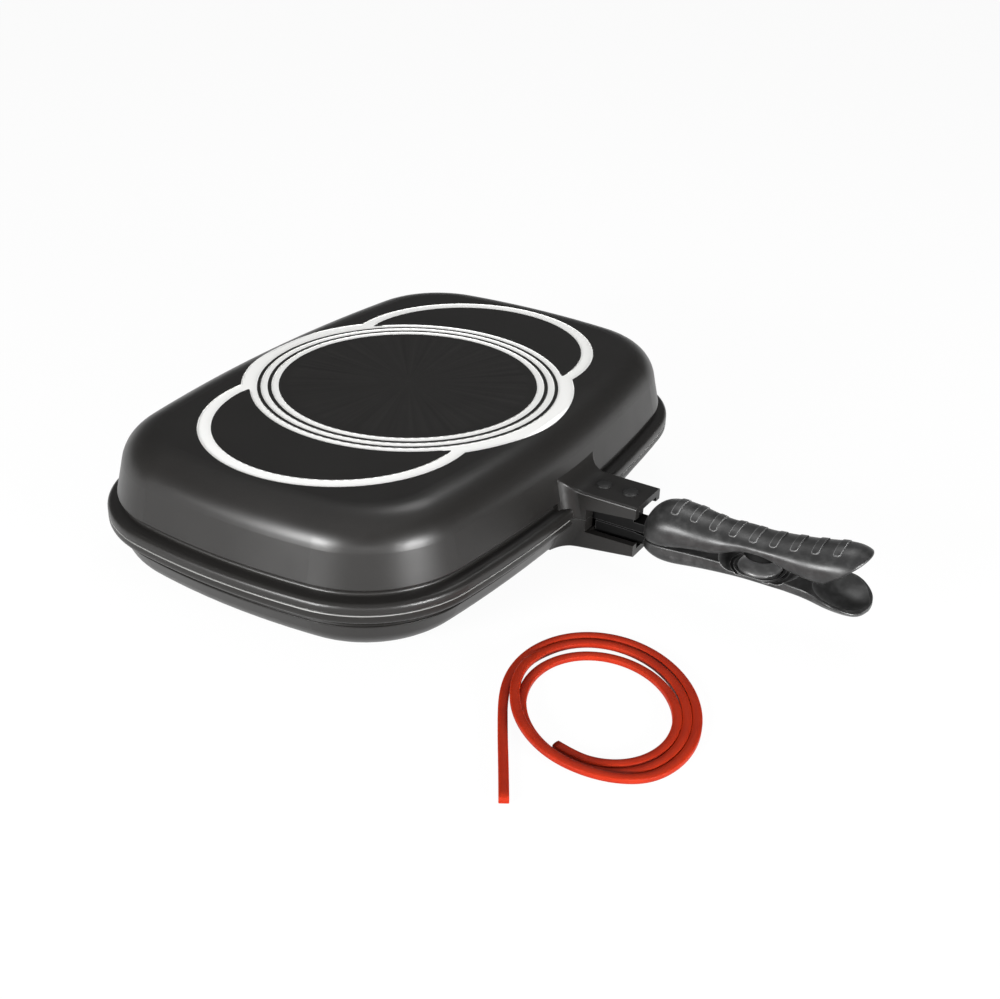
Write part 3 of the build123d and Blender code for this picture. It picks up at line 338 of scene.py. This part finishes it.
# ------------------------------------------------------------------------------ finishes
@dataclass(frozen=True)
class Rings:
    """Pattern in the upper pan's top, in millimetres: painted rings and, inside them, scratches."""

    inner: tuple[Span, ...] = ((83.53, 87.55), (77.05, 81.24))
    band_inner: float = 89.72
    band_outer: float = 99.23
    band_at_ears: float = 93.91
    ear_centre: float = 67.7
    ear_inner: float = 71.4
    ear_outer: float = 78.9
    corner: float = 3.0
    softness: float = 0.08
    level: float = 76.0
    rays_per_radian: float = 8.0
    rays: Grain = Grain(2.0, 4.0, low=0.35, high=0.65, roughness=0.7)
    ray_shade: Span = (0.5, 1.8)
    relief_end: Span = (105.0, 109.0)
    shade_end: Span = (107.5, 109.5)

    def mask(self, graph: Graph) -> Socket:
        """Works out where the paint is.

        Each shape is a distance that is negative inside it: the smaller of two distances joins two
        shapes, and the larger one cuts them. The band is a disc joined with an ear at each end,
        less the window in each ear and the disc inside it. The inner rings are joined to the band.

        Args:
            graph: The material that the pattern belongs to.

        Returns:
            1 on the painted rings and 0 elsewhere.
        """
        x, y, z = (graph.math("MULTIPLY", graph.axis(index), 1 / MM) for index in range(3))

        def distance(across: Socket) -> Socket:
            """Distance from the point that lies this far across, on the long axis."""
            squares = (graph.math("MULTIPLY", side, side) for side in (across, y))
            return graph.math("SQRT", graph.math("ADD", *squares))

        middle = distance(x)
        ear = distance(graph.math("SUBTRACT", graph.math("ABSOLUTE", x), self.ear_centre))
        outside = graph.math(
            "MINIMUM",
            graph.math("SUBTRACT", middle, self.band_outer),
            graph.math("SUBTRACT", ear, self.ear_outer),
        )
        window = graph.math(
            "SMOOTH_MAX",
            graph.math("SUBTRACT", ear, self.ear_inner),
            graph.math("SUBTRACT", self.band_at_ears, middle),
            self.corner,
        )
        outside = graph.math("MAXIMUM", outside, graph.math("MULTIPLY", window, -1.0))
        painted = graph.math("MAXIMUM", outside, graph.math("SUBTRACT", self.band_inner, middle))
        for low, high in self.inner:
            off = graph.math("ABSOLUTE", graph.math("SUBTRACT", middle, (low + high) / 2))
            ring = graph.math("SUBTRACT", off, (high - low) / 2)
            painted = graph.math("MINIMUM", ring, painted)
        on_top = graph.math("GREATER_THAN", z, self.level)
        filled = graph.spread(painted, -self.softness, self.softness, 1.0, 0.0)
        return graph.math("MULTIPLY", filled, on_top)

    def scratches(self, graph: Graph) -> tuple[Socket, Socket]:
        """Works out the fine radial scratches of the turned disc inside the rings.

        They are a noise of the angle round the middle, and end at a distance from the origin.

        Args:
            graph: The material that the pattern belongs to.

        Returns:
            Their height, from 0 to 1, and the number that the coating's colour is multiplied by.
        """
        angle = graph.math("ARCTAN2", graph.axis(1), graph.axis(0))
        spun = {0: graph.math("MULTIPLY", angle, self.rays_per_radian)}
        rays = self.rays.value(graph, graph.node("ShaderNodeCombineXYZ", spun).outputs[0])
        off = graph.node("ShaderNodeVectorMath", {0: graph.place}, operation="LENGTH").outputs[1]
        disc = graph.spread(off, *(end * MM for end in self.relief_end), 1.0, 0.0)
        plain = graph.spread(off, *(end * MM for end in self.shade_end), 0.0, 1.0)
        shade = graph.spread(rays, self.rays.low, self.rays.high, *self.ray_shade)
        kept = graph.math("MULTIPLY", graph.math("SUBTRACT", 1.0, plain), shade)
        return graph.math("MULTIPLY", rays, disc), graph.math("ADD", kept, plain)


@dataclass(frozen=True)
class WornEdge:
    """Bare metal line along the rim's lower chamfer, in millimetres below the parting plane."""

    parting: float = 35.0
    near: float = 0.22
    near_softness: float = 0.04
    far: float = 0.55
    far_softness: float = 0.1
    slope: Span = (0.45, 0.6)
    patches: Grain = Grain(22.0, 3.0, low=0.35, high=0.65)
    wear: Span = (0.45, 1.0)

    def mask(self, graph: Graph) -> Socket:
        """Works out where the coating is missing.

        Args:
            graph: The material that the line belongs to.

        Returns:
            Up to 1 on the lower chamfer, in patches, and 0 elsewhere.
        """
        height = graph.math("MULTIPLY", graph.axis(2), 1 / MM)
        off = graph.math("SUBTRACT", self.parting, height)
        near = (self.near - self.near_softness, self.near + self.near_softness)
        far = (self.far - self.far_softness, self.far + self.far_softness)
        beyond = graph.spread(off, *near, 0.0, 1.0)
        within = graph.spread(off, *far, 1.0, 0.0)
        facing = graph.node("ShaderNodeSeparateXYZ", {0: graph.facing}).outputs[2]
        sloped = graph.spread(graph.math("ABSOLUTE", facing), *self.slope, 0.0, 1.0)
        line = graph.math("MULTIPLY", graph.math("MULTIPLY", beyond, within), sloped)
        return graph.math("MULTIPLY", line, self.patches.spread(graph, *self.wear))


@dataclass(frozen=True)
class Coating:
    """Dark satin non-stick coating over a casting."""

    name: str = "pan_coating"
    base: Triple = (26, 25, 24)
    fleck: Triple = (56, 55, 53)
    flecks: Grain = Grain(2600.0, 2.0, low=0.62, high=0.78)
    fleck_share: float = 0.5
    clouds: Grain = Grain(14.0, 4.0)
    cloud_shade: Span = (0.94, 1.06)
    roughness: float = 0.34
    smears: Grain = Grain(45.0, 3.0)
    smear: Span = (-0.02, 0.03)
    gloss: float = 0.36
    peel: Relief = Relief(Grain(900.0, 3.0), 0.00003, 0.3)
    bare: Triple = (214, 214, 212)
    worn: WornEdge = WornEdge()
    rings: Rings | None = None
    ray_depth: float = 0.00004
    ray_share: float = 0.7
    paint: Triple = (250, 250, 248)
    paint_roughness: float = 0.15

    @cache
    def make(self) -> bpy.types.Material:
        """Builds the coating, once.

        Returns:
            The material.
        """
        graph = Graph(self.name)
        fleck = self.flecks.spread(graph, 0.0, self.fleck_share)
        tone = graph.blend(fleck, colour(*self.base), colour(*self.fleck))
        tone = graph.scale(tone, self.clouds.spread(graph, *self.cloud_shade))
        rough = self.smears.spread(graph, *(self.roughness + off for off in self.smear))
        normal = self.peel.normal(graph)
        if self.rings:
            painted = self.rings.mask(graph)
            height, shade = self.rings.scratches(graph)
            normal = graph.bump(height, self.ray_depth, self.ray_share, normal)
            tone = graph.blend(painted, graph.scale(tone, shade), colour(*self.paint))
            extra = graph.math("MULTIPLY", painted, self.paint_roughness)
            rough = graph.math("ADD", rough, extra)
        bare = self.worn.mask(graph)
        return graph.finish(
            Base_Color=graph.blend(bare, tone, colour(*self.bare)),
            Roughness=rough,
            Metallic=bare,
            Specular_IOR_Level=self.gloss,
            Normal=normal,
        )


@dataclass(frozen=True)
class BlackSkin:
    """Black skin of moulded thermoset, or of the coating on tangs and screws.

    It is mottled, has a slight orange peel, and has a painted highlight: its crisp edges are
    painted paler.
    """

    name: str = "grip_thermoset"
    base: Triple = (16, 16, 16)
    mottle: float = 28.0
    mottles: Grain = Grain(170.0, 4.0, low=0.45, high=0.72, roughness=0.65)
    roughness: float = 0.42
    smears: Grain = Grain(90.0, 3.0)
    smear: Span = (-0.05, 0.06)
    gloss: float = 0.6
    peel: Relief = Relief(Grain(420.0, 3.0), 0.00006, 0.3)
    pores: Relief = Relief(Grain(2400.0, 2.0), 0.00002, 0.3)
    dust: float = 0.035
    dust_roughness: float = 0.4
    # Colour of the painted highlight that is blended in along crisp edges.
    edge: Triple = (132, 132, 132)
    painted_highlight_reach: float = 0.0008

    @cache
    def make(self) -> bpy.types.Material:
        """Builds the skin, once.

        Returns:
            The material.
        """
        graph = Graph(self.name)
        pale = colour(*(value + self.mottle for value in self.base))
        tone = graph.blend(self.mottles.spread(graph, 0.0, 1.0), colour(*self.base), pale)
        return graph.finish(
            # Painted highlight: crisp edges are blended towards the pale edge colour.
            Base_Color=graph.blend(graph.edges(self.painted_highlight_reach), tone, colour(*self.edge)),
            Roughness=self.smears.spread(graph, *(self.roughness + off for off in self.smear)),
            Specular_IOR_Level=self.gloss,
            Sheen_Weight=self.dust,
            Sheen_Roughness=self.dust_roughness,
            Normal=self.pores.normal(graph, self.peel.normal(graph)),
        )


@dataclass(frozen=True)
class Silicone:
    """Orange-red extruded silicone: a soft satin skin with a little light inside it."""

    name: str = "seal_silicone"
    base: Triple = (148, 36, 12)
    deep: Triple = (118, 20, 6)
    clouds: Grain = Grain(70.0, 4.0, low=0.35)
    cloud_share: float = 0.45
    roughness: float = 0.5
    smears: Grain = Grain(160.0, 3.0)
    smear: Span = (-0.06, 0.08)
    gloss: float = 0.1
    pores: Relief = Relief(Grain(1500.0, 2.0), 0.00002, 0.4)
    glow: float = 0.06
    glow_reach: Triple = (0.004, 0.0012, 0.0006)

    @cache
    def make(self) -> bpy.types.Material:
        """Builds the silicone, once.

        Returns:
            The material.
        """
        graph = Graph(self.name)
        cloud = self.clouds.spread(graph, 0.0, self.cloud_share)
        return graph.finish(
            Base_Color=graph.blend(cloud, colour(*self.base), colour(*self.deep)),
            Roughness=self.smears.spread(graph, *(self.roughness + off for off in self.smear)),
            Normal=self.pores.normal(graph),
            Subsurface_Weight=self.glow,
            Specular_IOR_Level=self.gloss,
            Subsurface_Radius=self.glow_reach,
            Subsurface_Scale=1.0,
        )


@dataclass(frozen=True)
class Steel:
    """Brushed or plated metal, with fine scratches along one axis."""

    name: str
    base: Triple
    roughness: float
    stretch: Triple
    stain: float = 0.8
    stains: Grain = Grain(110.0, 4.0)
    brushing: Grain = Grain(1800.0, 3.0, roughness=0.6)
    smear: Span = (-0.08, 0.1)
    depth: float = 0.00002
    depth_share: float = 0.4

    @cache
    def make(self) -> bpy.types.Material:
        """Builds the steel, once.

        Returns:
            The material.
        """
        graph = Graph(self.name)
        drawn = graph.node("ShaderNodeMapping", {0: graph.place, 3: self.stretch}).outputs[0]
        brushed = self.brushing.value(graph, drawn)
        rough = (self.roughness + off for off in self.smear)
        stained = colour(*(value * self.stain for value in self.base))
        tone = graph.blend(self.stains.spread(graph, 0.0, 1.0), colour(*self.base), stained)
        return graph.finish(
            Base_Color=tone,
            Roughness=graph.spread(brushed, self.brushing.low, self.brushing.high, *rough),
            Metallic=1.0,
            Normal=graph.bump(brushed, self.depth, self.depth_share),
        )


Finish = Coating | BlackSkin | Silicone | Steel


@dataclass(frozen=True)
class Palette:
    """The finishes of the whole part."""

    coating: Coating = Coating(gloss=0.24)
    ringed: Coating = Coating(name="pan_coating_rings", rings=Rings())
    grip: BlackSkin = BlackSkin()
    # The tang's black coating is made darker than the other black skins, a painted shade for the
    # shadowed trough it lies in.
    tang: BlackSkin = BlackSkin(
        name="tang_coating_painted_shade",
        base=(4, 4, 4),
        mottle=4.0,
        roughness=0.6,
        gloss=0.15,
        dust=0.0,
        edge=(70, 70, 70),
    )
    screw: BlackSkin = BlackSkin(
        name="screw_coating",
        base=(18, 18, 18),
        mottle=8.0,
        roughness=0.5,
        gloss=0.3,
        dust=0.0,
        edge=(60, 60, 60),
    )
    # Painted shade: the upper grip's magnet cap is dressed nearly black because it sits in the
    # shade between the grips.
    painted_shade_cap: BlackSkin = BlackSkin(
        name="cap_painted_shade",
        base=(6, 6, 6),
        mottle=4.0,
        roughness=0.6,
        gloss=0.15,
        dust=0.0,
        edge=(20, 20, 20),
    )
    # Painted light: the lower grip's magnet cap is the same cap made pale and glossy to stand in
    # for the light falling on it.
    painted_light_cap: BlackSkin = BlackSkin(
        name="cap_painted_light",
        base=(50, 50, 50),
        roughness=0.4,
        gloss=1.0,
        dust=0.3,
        edge=(150, 150, 150),
    )
    seal: Silicone = Silicone()
    pin: Steel = Steel("pin_steel", (176, 176, 178), 0.26, (0.08, 1.0, 1.0))
    magnet: Steel = Steel("magnet_nickel", (168, 166, 160), 0.22, (1.0, 1.0, 1.0))


# ------------------------------------------------------------------------------ meshes
def tube_mesh(name: str, points: np.ndarray, material: bpy.types.Material) -> bpy.types.Object:
    """Makes a closed tube from rows of a closed section, with a flat cap at each end.

    Args:
        name: The new object's name.
        points: Positions, shaped rows by section points by 3, in metres.
        material: Its material.

    Returns:
        The new object, smooth between sharp caps.
    """
    rows, across, _ = points.shape
    index = np.arange(rows * across).reshape(rows, across)
    step = np.roll(index, -1, axis=1)
    quads = np.stack([index[:-1], step[:-1], step[1:], index[1:]], axis=-1).reshape(-1, 4)
    corners = np.concatenate([quads.ravel(), index[0][::-1], index[-1]])
    sizes = np.concatenate([np.full(len(quads), 4), [across, across]])
    starts = np.concatenate([[0], np.cumsum(sizes)[:-1]])
    mesh = bpy.data.meshes.new(name)
    mesh.vertices.add(rows * across)
    mesh.vertices.foreach_set("co", points.reshape(-1).astype(np.float32))
    mesh.loops.add(len(corners))
    mesh.loops.foreach_set("vertex_index", corners.astype(np.int32))
    mesh.polygons.add(len(sizes))
    mesh.polygons.foreach_set("loop_start", starts.astype(np.int32))
    smooth = np.ones(len(sizes), dtype=bool)
    smooth[-2:] = False
    mesh.polygons.foreach_set("use_smooth", smooth)
    mesh.update(calc_edges=True)
    mesh.validate()
    mesh.materials.append(material)
    return link_new(name, mesh)


def link_new(name: str, data: bpy.types.ID) -> bpy.types.Object:
    """Makes an object of some data and puts it in the scene.

    Args:
        name: The new object's name.
        data: Its mesh, camera or light.

    Returns:
        The new object.
    """
    made = bpy.data.objects.new(name, data)
    bpy.context.scene.collection.objects.link(made)
    return made


def dress_node(name: str, finish: Finish) -> bpy.types.Object:
    """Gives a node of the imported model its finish, and keeps its shape.

    Args:
        name: The node's name.
        finish: The finish.

    Returns:
        The node's object.
    """
    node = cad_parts[name]
    node.data.materials.clear()
    node.data.materials.append(finish.make())
    return node


# ------------------------------------------------------------------------------ spare seal
@dataclass(frozen=True)
class SpareSeal:
    """The loose seal strip on the table: a straight tail and nearly three loose oval turns.

    Sizes and places are in metres, and turn and start in degrees. The fields first, crossing and
    approach count turns. The numbers of a radius or a drift are the terms of a polynomial in turns
    done, highest first, in millimetres.
    """

    finish: Silicone
    body: str = "pan"
    slot: str = "red_seal"
    width: float = 4.9 * MM
    height: float = 3.2 * MM
    crown: float = 0.8 * MM
    crown_points: int = 15
    edge: float = 0.3 * MM
    tail: tuple[Span, ...] = ((-0.2098, -0.1961), (-0.1908, -0.1845), (-0.1688, -0.1707))
    centre: Span = (-0.122, -0.201)
    turn: float = 36.61
    turns: float = 2.9
    start: float = 90.73
    long_radius: tuple[float, ...] = (-0.70, 1.57, -7.55, 63.60)
    short_radius: tuple[float, ...] = (-1.21, 5.01, -10.40, 50.80)
    drift_long: tuple[float, ...] = (-1.51, 2.22, -0.28)
    drift_short: tuple[float, ...] = (-0.32, 1.53, -0.55)
    first: float = 0.03
    crossing: Span = (0.80, 1.08)
    approach: float = 0.09
    step_over: float = 3.35 * MM
    points_per_turn: int = 18
    steps_per_point: int = 10

    def route(self) -> np.ndarray:
        """Control points of the strip's centre line, from its free end inwards.

        A turn is an ellipse whose two radii and centre are polynomials of the turns done. Where the
        strip lies on its own next turn, it stands higher by step_over, with a smooth rise and fall.

        Returns:
            Positions in metres, one row each.
        """
        done = np.linspace(self.first, self.turns, int(self.turns * self.points_per_turn))
        angle = np.radians(self.start) - 2 * np.pi * done
        long = np.polyval(self.long_radius, done) * np.cos(angle)
        short = np.polyval(self.short_radius, done) * np.sin(angle)
        long += np.polyval(self.drift_long, done)
        short += np.polyval(self.drift_short, done)
        turn = math.radians(self.turn)
        x = self.centre[0] + MM * (long * math.cos(turn) - short * math.sin(turn))
        y = self.centre[1] + MM * (long * math.sin(turn) + short * math.cos(turn))
        middle = sum(self.crossing) / 2
        off = np.abs(done - middle) - (self.crossing[1] - middle)
        fall = np.clip(off / self.approach, 0.0, 1.0)
        lift = self.step_over * (1 - fall**2 * (3 - 2 * fall))
        coil = np.column_stack([x, y, self.height / 2 + lift])
        tail = np.column_stack([np.array(self.tail), np.full(len(self.tail), self.height / 2)])
        return np.vstack([tail, coil])

    def centre_line(self) -> np.ndarray:
        """Points along the smooth spline of the route.

        Returns:
            Positions in metres, one row each.
        """
        route = self.route()
        curve = bpy.data.curves.new("spare_seal_line", "CURVE")
        curve.dimensions = "3D"
        curve.resolution_u = self.steps_per_point
        spline = curve.splines.new("NURBS")
        spline.points.add(len(route) - 1)
        spline.points.foreach_set("co", np.column_stack([route, np.ones(len(route))]).ravel())
        spline.order_u = 3
        spline.use_endpoint_u = True
        guide = bpy.data.objects.new("spare_seal_line", curve)
        line = bpy.data.meshes.new_from_object(guide)
        points = np.empty(len(line.vertices) * 3)
        line.vertices.foreach_get("co", points)
        bpy.data.objects.remove(guide)
        bpy.data.meshes.remove(line)
        return points.reshape(-1, 3)

    def section(self) -> np.ndarray:
        """Cross-section of the strip: a flat foot with eased corners, and an elliptical crown.

        Returns:
            Offsets across and up from the centre line, one row each.
        """
        half = self.width / 2
        around = np.linspace(np.pi, 0.0, self.crown_points)
        shoulder = self.height / 2 - self.crown
        top = np.column_stack([half * np.cos(around), shoulder + self.crown * np.sin(around)])
        foot = -self.height / 2
        sides = np.array([[half, foot + self.edge], [half - self.edge, foot]])
        return np.vstack([top, sides, sides[::-1] * (-1, 1)])

    def build(self) -> list[bpy.types.Object]:
        """The section stands square to the centre line at each of its points, with its foot down.

        Returns:
            The strip.
        """
        line = self.centre_line()
        along = np.gradient(line, axis=0)
        along /= np.linalg.norm(along, axis=1, keepdims=True)
        across = np.column_stack([along[:, 1], -along[:, 0], np.zeros(len(line))])
        across /= np.linalg.norm(across, axis=1, keepdims=True)
        section = self.section()
        rows = (
            line[:, None, :]
            + across[:, None, :] * section[None, :, :1]
            + np.cross(across, along)[:, None, :] * section[None, :, 1:]
        )
        strip = tube_mesh("spare_seal", rows, self.finish.make())
        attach(strip, self.body)
        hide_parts("spare_seal_coil", "spare_seal_tail")
        return [strip]


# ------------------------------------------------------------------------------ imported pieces
@dataclass(frozen=True)
class Half:
    """One half of the pan with its grip, its tang, and the boss, magnet and screws of its grip."""

    side: Side
    coating: Coating
    # The cap's finish is a painted-shade copy on the upper half and a painted-light copy on the
    # lower half.
    cap: BlackSkin
    palette: Palette

    def build(self) -> list[bpy.types.Object]:
        """Dresses the half.

        Returns:
            The dressed pieces.
        """
        finishes = {
            "pan": self.coating,
            "handle": self.palette.grip,
            "magnet_cap": self.cap,
            "tang": self.palette.tang,
            "lug_screws": self.palette.screw,
            "handle_screw": self.palette.screw,
            "magnet": self.palette.magnet,
        }
        return [
            dress_node(f"{self.side.value}_{piece}", finish) for piece, finish in finishes.items()
        ]


@dataclass(frozen=True)
class RimSeal:
    """The silicone seal in the groove of the lower rim."""

    finish: Silicone

    def build(self) -> list[bpy.types.Object]:
        """Dresses the seal."""
        return [dress_node("rim_seal", self.finish)]


@dataclass(frozen=True)
class Hinge:
    """The pin that the lid turns on, with its two rings and its washers."""

    finish: Steel
    nodes: tuple[str, ...] = ("hinge_pin", "hinge_clip", "hinge_washers")

    def build(self) -> list[bpy.types.Object]:
        """Dresses the hinge."""
        return [dress_node(name, self.finish) for name in self.nodes]


# ------------------------------------------------------------------------------ set and camera
@dataclass(frozen=True)
class View:
    """Where the camera stands, in metres, and how it is turned, in degrees."""

    place: Triple = (-0.6261, -0.4302, 0.4124)
    azimuth: float = -59.836
    elevation: float = 28.350
    roll: float = 2.152
    lens: float = 49.474
    sensor: float = 36.0
    near_clip: float = 0.01

    def build(self) -> None:
        """Makes the camera and sets it as the scene's own."""
        azimuth = math.radians(self.azimuth)
        elevation = math.radians(self.elevation)
        roll = math.radians(self.roll)
        level = Vector((math.cos(azimuth), math.sin(azimuth), 0.0))
        back = Vector(
            (
                math.sin(azimuth) * math.cos(elevation),
                -math.cos(azimuth) * math.cos(elevation),
                math.sin(elevation),
            )
        )
        rise = back.cross(level)
        right = math.cos(roll) * level + math.sin(roll) * rise
        up = -math.sin(roll) * level + math.cos(roll) * rise
        data = bpy.data.cameras.new("camera")
        data.lens = self.lens
        data.sensor_width = self.sensor
        data.clip_start = self.near_clip
        camera = link_new("camera", data)
        turned = Matrix((right, up, back)).transposed().to_4x4()
        camera.matrix_world = Matrix.Translation(self.place) @ turned
        bpy.context.scene.camera = camera


@dataclass(frozen=True)
class Lamp:
    """One soft box: where it hangs, what it looks at and its size, in metres, and its watts."""

    name: str
    place: Triple
    target: Triple
    size: Span
    power: float

    def build(self) -> None:
        """Makes the lamp, which lights but isn't seen."""
        data = bpy.data.lights.new(self.name, "AREA")
        data.shape = "RECTANGLE"
        data.size, data.size_y = self.size
        data.energy = self.power
        lamp = link_new(self.name, data)
        lamp.location = self.place
        look = Vector(self.target) - Vector(self.place)
        lamp.rotation_euler = look.to_track_quat("-Z", "Y").to_euler()
        lamp.visible_camera = False


@dataclass(frozen=True)
class Studio:
    """White floor, a dim room with a white horizon, and soft boxes.

    A tone, an ambient or a horizon of 1 is white, and horizon_top is the height of a ray's
    direction where the white horizon fades out.
    """

    floor_size: float = 30.0
    floor_level: float = -0.0003
    floor_tone: float = 0.93
    floor_grain: Grain = Grain(3.0, 2.0)
    floor_stain: Span = (-0.01, 0.01)
    floor_white: float = 0.95
    ambient: float = 0.1
    horizon: float = 1.0
    horizon_top: Span = (0.02, 0.1)
    lamps: tuple[Lamp, ...] = (
        Lamp("left_low", (-1.303, 0.181, 0.357), (-0.164, -0.061, 0.067), (0.50, 0.30), 28.0),
        Lamp("left_long", (-1.213, 0.714, 0.318), (-0.168, -0.018, 0.07), (0.70, 0.16), 1.5),
        Lamp("right_low", (-0.345, -1.280, 0.22), (-0.139, -0.097, 0.066), (0.50, 0.16), 25.0),
        Lamp("front_fill", (-1.215, -0.826, 0.3), (-0.15, -0.08, 0.067), (0.80, 0.16), 3.0),
        Lamp("back_high", (0.55, 0.03, 1.05), (0.01, -0.29, 0.03), (0.34, 0.34), 2.2),
        Lamp("overhead", (0.0, 0.1, 1.7), (0.0, 0.0, 0.0), (2.6, 2.6), 11.0),
    )

    def build(self) -> None:
        """Makes the floor, the world and the lamps."""
        self.build_floor()
        self.build_world()
        for lamp in self.lamps:
            lamp.build()

    def build_floor(self) -> None:
        """Makes the floor as one large square of white paper that keeps the object's shadow."""
        half = self.floor_size / 2
        corners = [(-half, -half), (half, -half), (half, half), (-half, half)]
        mesh = bpy.data.meshes.new("floor")
        mesh.from_pydata([(x, y, self.floor_level) for x, y in corners], [], [(0, 1, 2, 3)])
        graph = Graph("floor_paper")
        stain = (self.floor_tone + off for off in self.floor_stain)
        tone = self.floor_grain.spread(graph, *stain)
        paper = graph.node("ShaderNodeCombineColor", {0: tone, 1: tone, 2: tone}).outputs[0]
        matt = graph.node("ShaderNodeBsdfDiffuse", {"Color": paper}).outputs[0]
        white = graph.node("ShaderNodeEmission", {"Strength": 1.0}).outputs[0]
        share = graph.math("MULTIPLY", graph.math("MAXIMUM", *looks(graph)), self.floor_white)
        surface = graph.node("ShaderNodeMixShader", {0: share, 1: matt, 2: white}).outputs[0]
        graph.node("ShaderNodeOutputMaterial", {"Surface": surface})
        mesh.materials.append(graph.material)
        link_new("floor", mesh)

    def build_world(self) -> None:
        """Makes a dim room, which is white where it is seen and low down where it is mirrored."""
        world = bpy.data.worlds.new("room")
        world.use_nodes = True
        graph = Graph.of_world(world)
        low = graph.spread(graph.axis(2), *self.horizon_top, 1.0, 0.0)
        seen, mirrored = looks(graph)
        share = graph.math("MAXIMUM", seen, graph.math("MULTIPLY", low, mirrored))
        strength = graph.spread(share, 0.0, 1.0, self.ambient, self.horizon)
        white = {"Color": (1.0, 1.0, 1.0, 1.0), "Strength": strength}
        background = graph.node("ShaderNodeBackground", white)
        graph.node("ShaderNodeOutputWorld", {"Surface": background.outputs[0]})
        bpy.context.scene.world = world


def looks(graph: Graph) -> tuple[Socket, Socket]:
    """Tells the rays that show a surface from those that only light others.

    Args:
        graph: The node graph that asks.

    Returns:
        1 for camera rays, and 1 for glossy and transmission rays; 0 for all others.
    """
    rays = graph.node("ShaderNodeLightPath").outputs
    mirrored = graph.math("MAXIMUM", rays["Is Glossy Ray"], rays["Is Transmission Ray"])
    return rays["Is Camera Ray"], mirrored


# ------------------------------------------------------------------------------ assembly
def main() -> None:
    """Builds the camera, the part and the studio round it, and reports each piece."""
    logging.basicConfig(level=logging.INFO)
    bpy.context.scene.view_settings.view_transform = "Standard"
    View().build()
    palette = Palette()
    assembly = (
        SpareSeal(palette.seal),
        Half(Side.UPPER, palette.ringed, palette.painted_shade_cap, palette),
        Half(Side.LOWER, palette.coating, palette.painted_light_cap, palette),
        RimSeal(palette.seal),
        Hinge(palette.pin),
    )
    for group in assembly:
        for piece in group.build():
            log.info("%s is dressed in %s", piece.name, piece.data.materials[0].name)
    Studio().build()


if __name__ == "__main__":
    main()
